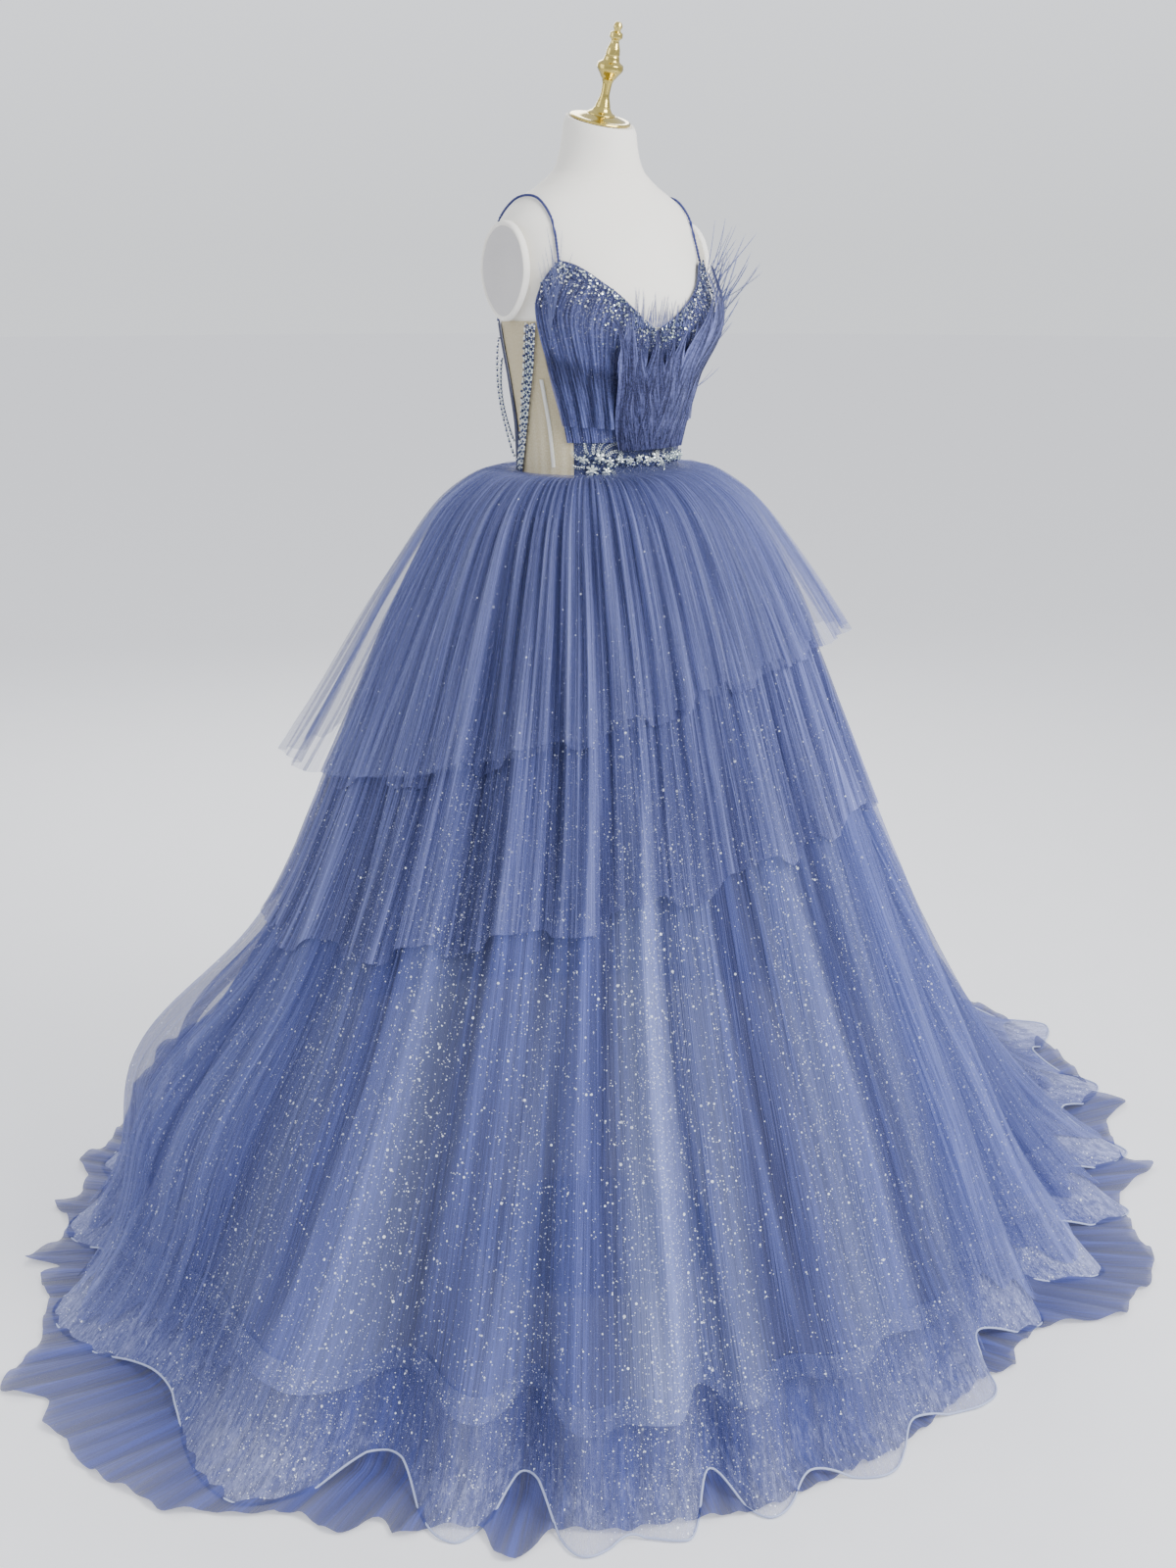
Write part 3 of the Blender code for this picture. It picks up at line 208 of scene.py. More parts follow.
@dataclass(frozen=True)
class SkirtShape:
    """Gathered skirt from the waist seam to the floor, with its hem's flutes and its train."""

    form: FormShape = field(default_factory=FormShape)
    # level, front radius, front height, train radius, train height, share of the hem's wave
    sections: tuple[tuple[float, ...], ...] = (
        (0.0, 0.1165, 1.088, 0.1165, 1.088, 0.0), (0.03, 0.148, 1.082, 0.148, 1.082, 0.01),
        (0.07, 0.183, 1.052, 0.183, 1.052, 0.03), (0.13, 0.218, 0.988, 0.22, 0.988, 0.05),
        (0.22, 0.256, 0.9, 0.26, 0.9, 0.07), (0.34, 0.302, 0.775, 0.314, 0.775, 0.1),
        (0.46, 0.348, 0.65, 0.374, 0.65, 0.14), (0.57, 0.393, 0.535, 0.442, 0.533, 0.18),
        (0.67, 0.44, 0.42, 0.53, 0.413, 0.24), (0.77, 0.495, 0.295, 0.66, 0.285, 0.34),
        (0.86, 0.55, 0.17, 0.83, 0.15, 0.5), (0.93, 0.6, 0.078, 0.99, 0.056, 0.74),
        (0.965, 0.626, 0.036, 1.09, 0.02, 0.88), (1.0, 0.65, 0.0021, 1.18, 0.0021, 1.0),
    )
    # crest angle, crest reach, valley angle, valley reach
    flutes: tuple[tuple[float, ...], ...] = (
        (-113.0, 0.745, -93.0, 0.665), (-73.0, 0.748, -62.5, 0.615), (-52.5, 0.715, -47.5, 0.612),
        (-41.0, 0.722, -36.5, 0.69), (-32.0, 0.7, -28.0, 0.61), (-23.5, 0.68, -17.0, 0.63),
        (-10.0, 0.66, -1.0, 0.605), (9.0, 0.635, 19.0, 0.565), (28.0, 0.625, 35.0, 0.59),
        (42.0, 0.7, 49.0, 0.64), (56.0, 0.775, 62.5, 0.715), (69.0, 0.865, 76.0, 0.82),
        (83.0, 0.99, 89.0, 0.96), (95.0, 1.13, 102.0, 1.07), (109.0, 1.19, 116.5, 1.12),
        (124.0, 1.21, 131.5, 1.14), (139.0, 1.225, 146.0, 1.15), (153.0, 1.22, 160.5, 1.135),
        (168.0, 1.18, 175.5, 1.08), (183.0, 1.07, 190.0, 0.94), (198.0, 0.88, 205.5, 0.79),
        (213.0, 0.785, 220.0, 0.71), (228.0, 0.755, 238.0, 0.68),
    )
    waist_z: float = 1.09
    waist_out: float = 0.0028
    hem_lift: float = 0.026
    billow_deg: float = -128.0
    billow_spread_deg: float = 32.0
    billow_z: float = 0.27
    billow_spread_z: float = 0.13
    billow_out: float = 0.085
    deep_fold_deg: float = -66.0
    deep_fold_spread_deg: float = 5.0
    deep_fold_in: float = 0.016
    deep_fold_z: float = 0.86
    deep_fold_spread_z: float = 0.17
    tier_tilt_deg: float = 32.0

    def column(self, k: int, s: Array) -> Array:
        """One column of the sections, read at levels s."""
        return smooth_curve([row[0] for row in self.sections], [row[k] for row in self.sections], s)

    def hem_reach(self, deg: Array) -> Array:
        """Hem distance from the axis, waving between its crests and valleys."""
        ends = sorted((row[k], row[k + 1]) for row in self.flutes for k in (0, 2))
        angles = np.array([a for a, _ in ends] + [ends[0][0] + 360.0])
        reach = np.array([r for _, r in ends] + [ends[0][1]])
        deg = (deg - angles[0]) % 360.0 + angles[0]
        i = np.clip(np.searchsorted(angles, deg, side="right") - 1, 0, len(angles) - 2)
        share = (1.0 - np.cos(np.pi * (deg - angles[i]) / (angles[i + 1] - angles[i]))) / 2.0
        return reach[i] + (reach[i + 1] - reach[i]) * share

    def hem_outline(self, deg: Array) -> Array:
        """Hem distance with the flutes smoothed away."""
        xs = [(row[0] + row[2]) / 2.0 for row in self.flutes]
        ys = [(row[1] + row[3]) / 2.0 for row in self.flutes]
        deg = (deg - xs[0]) % 360.0 + xs[0]
        return smooth_curve(xs + [xs[0] + 360.0], ys + [ys[0]], deg)

    def profile(self, deg: Array, s: Array, billow: float = 1.0) -> tuple[Array, Array]:
        """Radius and height of the skirt without its flutes.

        Args:
            deg: Angles from the front, in degrees.
            s: Levels down the cloth, 0 at the waist and 1 at the hem.
            billow: Share of the outer cloth's billow low on the wearer's right.

        Returns:
            Radius and height arrays.
        """
        first, last = self.sections[0], self.sections[-1]
        share = (self.hem_outline(deg) - last[1]) / (last[3] - last[1])
        front_r, front_z, train_r, train_z = (self.column(k, s) for k in (1, 2, 3, 4))
        radius = front_r + (train_r - front_r) * share
        height = front_z + (train_z - front_z) * np.maximum(0.0, share)
        waist = self.form.point(deg, self.waist_z, self.waist_out)
        radius = radius + (np.hypot(waist[..., 0], waist[..., 1]) - first[1]) * np.exp(-s / 0.1)
        puff = bell(apart(deg, self.billow_deg), self.billow_spread_deg)
        puff = puff * bell(height - self.billow_z, self.billow_spread_z)
        return radius + self.billow_out * billow * puff, height

    def point(self, deg: Array, s: Array, out: Array = 0.0, billow: float = 1.0) -> Array:
        """Points of the skirt.

        Args:
            deg: Angles from the front, in degrees.
            s: Levels down the cloth, 0 at the waist and 1 at the hem.
            out: Distances out from the cloth's inner face, in metres.
            billow: Share of the outer cloth's billow.

        Returns:
            Points in an array whose last axis is x, y, z.
        """
        deg, s, out = np.broadcast_arrays(np.asarray(deg, float), np.asarray(s, float), np.asarray(out, float))
        radius, height = self.profile(deg, s, billow)
        above = self.profile(deg, np.maximum(0.0, s - 0.01), billow)
        below = self.profile(deg, np.minimum(1.0, s + 0.01), billow)
        normal = np.stack((above[1] - below[1], below[0] - above[0]), axis=-1)
        normal /= np.linalg.norm(normal, axis=-1, keepdims=True)
        flute = self.column(5, s)
        wave = self.hem_reach(deg) - self.hem_outline(deg)
        lift = self.hem_lift * np.clip(-wave / 0.05, 0.0, 1.0) * flute * flute
        fold = self.deep_fold_in * bell(apart(deg, self.deep_fold_deg), self.deep_fold_spread_deg)
        fold = fold * bell(height - self.deep_fold_z, self.deep_fold_spread_z)
        radius = radius + wave * flute - fold + out * normal[..., 0]
        waist = self.form.surface(deg, self.waist_z)
        turned = np.degrees(np.arctan2(waist[..., 0], -waist[..., 1]))
        angle = np.radians(deg + apart(turned, deg) * np.exp(-s / 0.12))
        return np.stack((np.sin(angle) * radius, -np.cos(angle) * radius, height + lift + out * normal[..., 1]),
                        axis=-1)

    def level_of(self, height: Array) -> Array:
        """Level down the cloth at which the front skirt is at a height."""
        rows = sorted(self.sections, key=lambda row: row[2])
        return smooth_curve([row[2] for row in rows], [row[0] for row in rows], height)

    def folds(self, deg: Array, s: Array) -> Array:
        """Outward relief that all the skirt's layers share, in metres.

        Args:
            deg: Angles from the front, in degrees.
            s: Levels down the cloth.

        Returns:
            Relief: fine gathers at the waist that merge into wide soft folds lower down.
        """
        drift = 2.2 * np.sin(2.0 * np.pi * (0.9 * s + deg / 97.0)) * ramp(s, 0.1, 0.5)
        turned = deg + drift
        fine = 0.003 * ramp(s, 0.0, 0.03) * (1.0 - ramp(s, 0.25, 0.65)) * ring_folds(deg, 132, 3)
        middle = 0.0062 * ramp(s, 0.012, 0.14) * (1.0 - 0.75 * ramp(s, 0.8, 0.97)) * ring_folds(turned, 61, 7)
        wide = 0.01 * ramp(s, 0.1, 0.45) * (1.0 - ramp(s, 0.82, 0.99)) * ring_folds(turned, 25, 11)
        return fine + middle + wide


# Nodes --------------------

class Wiring:
    """Short hand for laying nodes and links in one node tree."""

    def __init__(self, tree: Tree) -> None:
        """Keeps the tree."""
        self.tree = tree

    def add(self, kind: str, inputs: dict | None = None, **settings: object) -> bpy.types.Node:
        """Adds a node.

        Args:
            kind: The node's type name.
            inputs: Values or sockets by the input's name or number.
            settings: The node's own properties.

        Returns:
            The node.
        """
        node = self.tree.nodes.new(kind)
        for key, value in settings.items():
            setattr(node, key, value)
        for key, value in (inputs or {}).items():
            self.feed(node.inputs[key], value)
        return node

    def feed(self, socket: Socket, value: object) -> None:
        """Links a socket to another one, or sets its value."""
        if isinstance(value, Socket):
            self.tree.links.new(value, socket)
        elif isinstance(value, tuple) and len(value) == 3 and socket.type == "RGBA":
            socket.default_value = (*value, 1.0)
        else:
            socket.default_value = value

    def maths(self, operation: str, *values: object, clamp: bool = False) -> Socket:
        """Adds a Math node and returns its result."""
        node = self.add("ShaderNodeMath", dict(enumerate(values)), operation=operation, use_clamp=clamp)
        return node.outputs[0]

    def weigh(self, a: object, share_a: float, b: object, share_b: float) -> Socket:
        """Adds two values, each by its share."""
        return self.maths("ADD", self.maths("MULTIPLY", a, share_a), self.maths("MULTIPLY", b, share_b))

    def vector(self, operation: str, *values: object) -> Socket:
        """Adds a Vector Math node and returns its vector."""
        node = self.add("ShaderNodeVectorMath", dict(enumerate(values)), operation=operation)
        return node.outputs[0]

    def span(self, value: object, low: float, high: float, to_low: float = 0.0,
             to_high: float = 1.0) -> Socket:
        """Maps a value's range to another one, clamped."""
        node = self.add("ShaderNodeMapRange", {"Value": value, "From Min": low, "From Max": high,
                                               "To Min": to_low, "To Max": to_high})
        return node.outputs[0]

    def blend(self, factor: object, a: object, b: object) -> Socket:
        """Mixes two colours."""
        node = self.add("ShaderNodeMix", data_type="RGBA")
        for name, value in (("Factor_Float", factor), ("A_Color", a), ("B_Color", b)):
            self.feed(next(i for i in node.inputs if i.identifier == name), value)
        return next(o for o in node.outputs if o.identifier == "Result_Color")


def new_group(name: str, kind: str, inputs: Sequence[tuple], outputs: Sequence[tuple]) -> tuple:
    """Makes a node group with named sockets.

    Args:
        name: The group's name.
        kind: ShaderNodeTree or GeometryNodeTree.
        inputs: Name, socket type and default value of each input.
        outputs: Name and socket type of each output.

    Returns:
        The group's wiring, what it is given and what it has to put out.
    """
    tree = bpy.data.node_groups.new(name, kind)
    for label, socket_type, default in inputs:
        socket = tree.interface.new_socket(label, in_out="INPUT", socket_type=socket_type)
        if default is not None:
            socket.default_value = default
    for label, socket_type in outputs:
        tree.interface.new_socket(label, in_out="OUTPUT", socket_type=socket_type)
    w = Wiring(tree)
    return w, w.add("NodeGroupInput").outputs, w.add("NodeGroupOutput").inputs


@cache
def crinkle_group() -> Tree:
    """Fine creases that run down gathered tulle, with the grain of its net."""
    w, given, out = new_group(
        "tulle_crinkle", "ShaderNodeTree",
        [("Vector", "NodeSocketVector", None), ("Streaks", "NodeSocketFloat", 40.0),
         ("Stretch", "NodeSocketFloat", 0.03)],
        [("Streak", "NodeSocketFloat"), ("Grain", "NodeSocketFloat")])
    scale = w.add("ShaderNodeCombineXYZ", {0: given["Streaks"],
                                           1: w.maths("MULTIPLY", given["Streaks"], given["Stretch"]), 2: 1.0})
    along = w.vector("MULTIPLY", given["Vector"], scale.outputs[0])
    coarse = w.add("ShaderNodeTexNoise", {"Vector": along, "Scale": 1.0, "Detail": 3.0, "Roughness": 0.62})
    finer = w.add("ShaderNodeTexNoise", {"Vector": along, "Scale": 4.3, "Detail": 2.0, "Roughness": 0.7})
    mixed = w.weigh(coarse.outputs[0], 0.55, finer.outputs[0], 0.45)
    w.feed(out["Streak"], w.span(mixed, 0.4, 0.62))
    across = w.add("ShaderNodeTexNoise", {"Vector": given["Vector"], "Scale": 420.0, "Detail": 1.0})
    w.feed(out["Grain"], w.span(across.outputs[0], 0.38, 0.62))
    return w.tree


@cache
def glitter_group() -> Tree:
    """Specks of glitter in three sizes, as many as the density asks for."""
    w, given, out = new_group(
        "glitter_specks", "ShaderNodeTree",
        [("Vector", "NodeSocketVector", None), ("Density", "NodeSocketFloat", 0.5),
         ("Scale", "NodeSocketFloat", 150.0)],
        [("Mask", "NodeSocketFloat")])
    found = []
    for share, radius, gate in ((1.0, 0.25, 0.32), (1.8, 0.28, 0.5), (2.9, 0.28, 0.55)):
        cells = w.add("ShaderNodeTexVoronoi", {"Vector": given["Vector"],
                                               "Scale": w.maths("MULTIPLY", given["Scale"], share)})
        tint = w.add("ShaderNodeSeparateColor", {0: cells.outputs["Color"]})
        kept = w.maths("LESS_THAN", tint.outputs[0], w.maths("MULTIPLY", given["Density"], gate))
        size = w.maths("MULTIPLY", w.maths("ADD", w.maths("MULTIPLY", tint.outputs[1], 0.7), 0.3), radius)
        near = w.maths("LESS_THAN", cells.outputs["Distance"], size)
        # Random brightness per speck, which the cloth's material turns into a painted glint.
        bright = w.maths("ADD", w.maths("MULTIPLY", tint.outputs[2], 0.75), 0.25)
        found.append(w.maths("MULTIPLY", w.maths("MULTIPLY", near, kept), bright))
    w.feed(out["Mask"], w.maths("MAXIMUM", w.maths("MAXIMUM", *found[:2]), found[2]))
    return w.tree


def blank_material(name: str) -> tuple[Wiring, bpy.types.Node]:
    """A new material's wiring and its Principled shader."""
    material = bpy.data.materials.new(name)
    material.use_nodes = True
    w = Wiring(material.node_tree)
    return w, material.node_tree.nodes["Principled BSDF"]


# Finishes --------------------

@dataclass(frozen=True)
class TulleFinish:
    """Tulle or other fine cloth on a piece's own UV map, which is in metres of cloth."""

    name: str
    # shade and light: colours of painted shade and painted light, mixed by the fold mark and the creases.
    shade: Colour
    light: Colour
    alpha_low: float = 1.0
    alpha_high: float = 1.0
    streaks: float = 40.0
    stretch: float = 0.03
    glitter: float = 0.0
    glitter_scale: float = 150.0
    # How strongly the glitter specks glow: a painted glint.
    painted_glint_glow: float = 0.5
    dust: float = 0.0
    roughness: float = 0.62
    sheen: float = 0.08
    bump: float = 0.55

    def material(self) -> bpy.types.Material:
        """Builds the material.

        Returns:
            Cloth whose colour and cover follow its creases and its fold attribute, which mixes in painted shade and
            painted light.
        """
        w, shader = blank_material(self.name)
        places = w.add("ShaderNodeTexCoord").outputs
        fold = w.add("ShaderNodeAttribute", attribute_name="fold").outputs["Fac"]
        crinkle = w.add("ShaderNodeGroup", {"Vector": places["UV"], "Streaks": self.streaks,
                                            "Stretch": self.stretch}, node_tree=crinkle_group()).outputs
        # The crease streaks are the net's own denser lines; the fold mark paints shade into fold valleys and light
        # onto crests.
        tone = w.weigh(crinkle["Streak"], 0.46, fold, 0.54)
        tone = w.weigh(tone, 0.86, crinkle["Grain"], 0.14)
        tone = w.maths("POWER", w.span(tone, 0.16, 0.84), 1.35)
        colour = w.blend(tone, self.shade, self.light)
        body = w.add("ShaderNodeAttribute", attribute_name="cover").outputs["Fac"]
        dense = w.maths("ADD", w.maths("MULTIPLY", crinkle["Streak"], 0.5),
                        w.maths("MULTIPLY_ADD", body, 1.2, -0.35), clamp=True)
        cover = w.maths("ADD", w.maths("MULTIPLY", dense, self.alpha_high - self.alpha_low), self.alpha_low)
        if self.glitter > 0.0:
            mask = w.add("ShaderNodeAttribute", attribute_name="glitter").outputs["Fac"]
            specks = w.add("ShaderNodeGroup", {"Vector": places["Object"], "Scale": self.glitter_scale,
                                               "Density": w.maths("MULTIPLY", mask, self.glitter)},
                           node_tree=glitter_group()).outputs["Mask"]
            colour = w.blend(w.maths("MULTIPLY", w.maths("POWER", mask, 2.0), self.dust), colour, (0.38, 0.45, 0.82))
            # Specks: glitter flakes in their own pale colour, plus a glow that paints their glints.
            colour = w.blend(specks, colour, (0.9, 0.94, 1.0))
            cover = w.maths("MAXIMUM", cover, specks)
            w.feed(shader.inputs["Emission Color"], w.blend(specks, (0.0, 0.0, 0.0), (0.85, 0.9, 1.0)))
            shader.inputs["Emission Strength"].default_value = self.painted_glint_glow
        w.feed(shader.inputs["Base Color"], colour)
        if self.alpha_low < 1.0:
            w.feed(shader.inputs["Alpha"], cover)
        bump = w.add("ShaderNodeBump", {"Height": crinkle["Streak"], "Distance": 0.004, "Strength": self.bump})
        w.feed(shader.inputs["Normal"], bump.outputs[0])
        shader.inputs["Roughness"].default_value = self.roughness
        shader.inputs["Sheen Weight"].default_value = self.sheen
        shader.inputs["Sheen Tint"].default_value = (0.75, 0.82, 1.0, 1.0)
        return bpy.data.materials[self.name]


@dataclass(frozen=True)
class HardFinish:
    """Painted, cast or turned surface with faint wear and grain."""

    name: str
    colour: Colour
    second: Colour
    roughness: float
    metallic: float = 0.0
    grain: float = 60.0
    bump: float = 0.05
    coat: float = 0.0

    def material(self) -> bpy.types.Material:
        """Builds the material, its grain on object coordinates."""
        w, shader = blank_material(self.name)
        places = w.add("ShaderNodeTexCoord").outputs
        broad = w.add("ShaderNodeTexNoise", {"Vector": places["Object"], "Scale": 9.0, "Detail": 3.0})
        fine = w.add("ShaderNodeTexNoise", {"Vector": places["Object"], "Scale": self.grain * 10.0, "Detail": 2.0})
        mixed = w.weigh(broad.outputs[0], 0.7, fine.outputs[0], 0.3)
        w.feed(shader.inputs["Base Color"], w.blend(w.span(mixed, 0.35, 0.65), self.colour, self.second))
        w.feed(shader.inputs["Roughness"], w.span(fine.outputs[0], 0.3, 0.7, self.roughness * 0.85,
                                                  min(1.0, self.roughness * 1.15)))
        bump = w.add("ShaderNodeBump", {"Height": fine.outputs[0], "Distance": 0.0006, "Strength": self.bump})
        w.feed(shader.inputs["Normal"], bump.outputs[0])
        shader.inputs["Metallic"].default_value = self.metallic
        shader.inputs["Coat Weight"].default_value = self.coat
        return bpy.data.materials[self.name]


class Finishes:
    """Every finish of the part by its plain name, built when first asked for."""

    table: dict[str, TulleFinish | HardFinish] = {f.name: f for f in (
        TulleFinish("glitter_skirt_cloth", (0.006, 0.01, 0.072), (0.095, 0.125, 0.44), 0.94, 0.99,
                    streaks=30.0, glitter=1.0, glitter_scale=135.0, painted_glint_glow=1.0, dust=0.42),
        TulleFinish("outer_tulle_cloth", (0.03, 0.043, 0.22), (0.23, 0.28, 0.7), 0.04, 0.5,
                    streaks=34.0, glitter=0.22, glitter_scale=170.0, painted_glint_glow=0.6),
        TulleFinish("tier_cloth", (0.01, 0.016, 0.12), (0.27, 0.315, 0.74), 0.22, 0.88,
                    streaks=38.0, glitter=0.42, glitter_scale=190.0, painted_glint_glow=0.7, dust=0.08),
        TulleFinish("veil_cloth", (0.09, 0.115, 0.38), (0.38, 0.43, 0.8), 0.04, 0.36, streaks=30.0),
        TulleFinish("braid_cloth", (0.1, 0.13, 0.44), (0.52, 0.57, 0.94), 0.24, 0.8, streaks=60.0,
                    stretch=0.5, glitter=1.0, glitter_scale=150.0, painted_glint_glow=0.9, dust=0.2),
        TulleFinish("braid_edge_cloth", (0.42, 0.48, 0.72), (0.86, 0.9, 1.0), streaks=90.0),
        TulleFinish("under_tulle_cloth", (0.012, 0.019, 0.11), (0.085, 0.112, 0.42), 0.66, 0.98, streaks=22.0),
        TulleFinish("pleat_cloth", (0.008, 0.012, 0.075), (0.165, 0.2, 0.54), streaks=260.0, stretch=0.05,
                    glitter=0.8, glitter_scale=460.0, painted_glint_glow=0.8),
        TulleFinish("lace_cloth", (0.004, 0.008, 0.045), (0.075, 0.1, 0.3), streaks=500.0, stretch=0.8,
                    glitter=0.8, glitter_scale=480.0, painted_glint_glow=0.7),
        TulleFinish("lock_cloth", (0.005, 0.008, 0.06), (0.19, 0.225, 0.6), 0.0, 1.0, streaks=420.0,
                    stretch=0.04),
        TulleFinish("flounce_cloth", (0.006, 0.01, 0.068), (0.15, 0.185, 0.5), 0.0, 0.95, streaks=300.0,
                    stretch=0.05),
        TulleFinish("loose_lock_cloth", (0.005, 0.008, 0.06), (0.235, 0.27, 0.66), 0.3, 0.96, streaks=260.0,
                    stretch=0.04),
        TulleFinish("nude_mesh_cloth", (0.76, 0.64, 0.37), (0.97, 0.9, 0.64), 0.6, 0.78,
                    streaks=520.0, stretch=0.9),
        TulleFinish("placket_cloth", (0.005, 0.009, 0.055), (0.045, 0.062, 0.21), streaks=300.0, stretch=0.5),
        TulleFinish("boning_cloth", (0.72, 0.72, 0.64), (0.95, 0.95, 0.9), streaks=700.0, stretch=0.9),
        TulleFinish("strap_cloth", (0.02, 0.028, 0.15), (0.12, 0.15, 0.44), streaks=900.0, stretch=0.5),
        TulleFinish("feather_cloth", (0.06, 0.085, 0.33), (0.43, 0.48, 0.84), 0.6, 1.0, streaks=900.0),
        HardFinish("form_cover", (0.945, 0.915, 0.835), (0.975, 0.955, 0.89), 0.72, grain=90.0, bump=0.12),
        HardFinish("arm_cap_paint", (0.56, 0.545, 0.545), (0.64, 0.625, 0.62), 0.55),
        HardFinish("gold_plate", (0.52, 0.4, 0.09), (0.76, 0.62, 0.2), 0.15, metallic=1.0, coat=0.2),
        HardFinish("stand_metal", (0.56, 0.565, 0.58), (0.66, 0.66, 0.67), 0.3, metallic=1.0),
        HardFinish("crystal_glass", (0.62, 0.76, 0.72), (1.0, 1.0, 1.0), 0.09, metallic=0.5,
                   grain=300.0, bump=0.0, coat=1.0),
        HardFinish("studio_floor", (0.78, 0.785, 0.8), (0.8, 0.805, 0.82), 0.8, grain=2.0, bump=0.0),
        HardFinish("dark_bead", (0.03, 0.045, 0.13), (0.11, 0.14, 0.3), 0.15, metallic=0.5, coat=1.0),
    )}
    made: dict[str, bpy.types.Material] = {}

    @classmethod
    def get(cls, name: str) -> bpy.types.Material:
        """The material of a finish."""
        if name not in cls.made:
            cls.made[name] = cls.table[name].material()
        return cls.made[name]


# Meshes --------------------

class Held(Enum):
    """How a sheet of cloth is held."""

    HUNG = "hung"
    GATHERED = "gathered"
    DRAPED = "draped"
    STRETCHED = "stretched"


def new_object(name: str, mesh: bpy.types.Mesh, finish: str) -> Piece:
    """Links a mesh to the scene as a finished piece's object."""
    obj = bpy.data.objects.new(name, mesh)
    bpy.context.scene.collection.objects.link(obj)
    mesh.materials.append(Finishes.get(finish))
    return obj


def grid_corners(rows: int, spans: int) -> tuple[Array, Array]:
    """Row and column numbers of the four corners of each face of a grid."""
    r, c = np.meshgrid(np.arange(rows - 1), np.arange(spans), indexing="ij")
    return (np.stack((r, r + 1, r + 1, r), axis=-1).reshape(-1, 4),
            np.stack((c, c, c + 1, c + 1), axis=-1).reshape(-1, 4))


def cloth_object(name: str, points: Array, faces: Array, uv: Array,
                 marks: dict[str, Array], finish: str) -> Piece:
    """Smooth cloth from its points, faces, cloth coordinates at the corners and marks."""
    mesh = bpy.data.meshes.new(name)
    mesh.from_pydata(points.tolist(), [], faces.tolist())
    mesh.uv_layers.new(name="cloth").data.foreach_set("uv", uv.ravel().astype(np.float32))
    for label, values in marks.items():
        mesh.attributes.new(label, "FLOAT", "POINT").data.foreach_set("value", values.astype(np.float32))
    mesh.shade_smooth()
    return new_object(name, mesh, finish)


def grid_object(name: str, points: Array, uv: Array, finish: str, closed: bool,
                marks: dict[str, Array] | None = None, flip: bool = False) -> Piece:
    """Smooth sheet through a grid of points.

    Args:
        name: The piece's name.
        points: Rows of points from the top down, each row running toward rising angles.
        uv: The cloth's own coordinates in metres, one more column than points if closed.
        finish: Name of its finish.
        closed: Whether each row joins its own start.
        marks: Values from 0 to 1 at the points, stored as attributes.
        flip: Whether the faces point the other way.

    Returns:
        The sheet's object.
    """
    rows, columns = points.shape[:2]
    corner_rows, corner_columns = grid_corners(rows, columns if closed else columns - 1)
    if flip:
        corner_rows, corner_columns = corner_rows[:, ::-1], corner_columns[:, ::-1]
    values = {label: np.broadcast_to(mark, (rows, columns)).ravel()
              for label, mark in {"fold": 0.5, "cover": 0.5, "glitter": 0.0, **(marks or {})}.items()}
    return cloth_object(name, points.reshape(-1, 3), corner_rows * columns + corner_columns % columns,
                        uv[corner_rows.ravel(), corner_columns.ravel()], values, finish)


def strips_object(name: str, strips: Sequence[tuple], finish: str) -> Piece:
    """Many small open grids joined in one piece.

    Args:
        name: The piece's name.
        strips: Points, UV and marks of each strip, in the form that a sheet's grid has.
        finish: Name of the piece's finish.

    Returns:
        The piece.
    """
    vertices, faces, uvs, marks = [], [], [], {"fold": [], "cover": []}
    for points, uv, values in strips:
        rows, columns = points.shape[:2]
        corner_rows, corner_columns = grid_corners(rows, columns - 1)
        faces.append(corner_rows * columns + corner_columns + sum(len(v) for v in vertices))
        vertices.append(points.reshape(-1, 3))
        uvs.append(np.broadcast_to(uv, (rows, columns, 2))[corner_rows.ravel(), corner_columns.ravel()])
        for label in marks:
            marks[label].append(np.broadcast_to(values[label], (rows, columns)).ravel())
    joined = {label: np.concatenate(values) for label, values in marks.items()}
    return cloth_object(name, np.concatenate(vertices), np.concatenate(faces), np.concatenate(uvs), joined, finish)


def row_lengths(points: Array, closed: bool) -> tuple[float, float]:
    """Longest row and mean column length of a grid of points."""
    ring = np.concatenate((points, points[:, :1]), axis=1) if closed else points
    widest = np.linalg.norm(np.diff(ring, axis=1), axis=-1).sum(axis=1).max()
    length = np.linalg.norm(np.diff(points, axis=0), axis=-1).sum(axis=0).mean()
    return float(widest), float(length)


def place_piece(obj: Piece, slot: str, *nodes: str) -> Piece:
    """Rides a finished piece on the body, hides the nodes it stands for and logs them."""
    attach(obj, BODY)
    if nodes:
        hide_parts(*nodes)
    LOG.info("piece %s: %d faces for %s", obj.name, len(obj.data.polygons), ", ".join(nodes) or "detail")
    return obj


# Repeating small parts --------------------

@cache
def cord_tree() -> Tree:
    """Geometry Nodes that sweep a round section along a line of edges."""
    w, given, out = new_group(
        "swept_cord", "GeometryNodeTree",
        [("Geometry", "NodeSocketGeometry", None), ("Radius", "NodeSocketFloat", 0.001),
         ("Sides", "NodeSocketInt", 6), ("Finish", "NodeSocketMaterial", None)],
        [("Geometry", "NodeSocketGeometry")])
    line = w.add("GeometryNodeMeshToCurve", {"Mesh": given["Geometry"]})
    ring = w.add("GeometryNodeCurvePrimitiveCircle", {"Resolution": given["Sides"], "Radius": given["Radius"]})
    swept = w.add("GeometryNodeCurveToMesh", {"Curve": line.outputs[0], "Profile Curve": ring.outputs[0],
                                              "Fill Caps": True})
    real = w.add("GeometryNodeRealizeInstances", {"Geometry": swept.outputs[0]})
    dressed = w.add("GeometryNodeSetMaterial", {"Geometry": real.outputs[0], "Material": given["Finish"]})
    w.feed(out["Geometry"], dressed.outputs[0])
    return w.tree


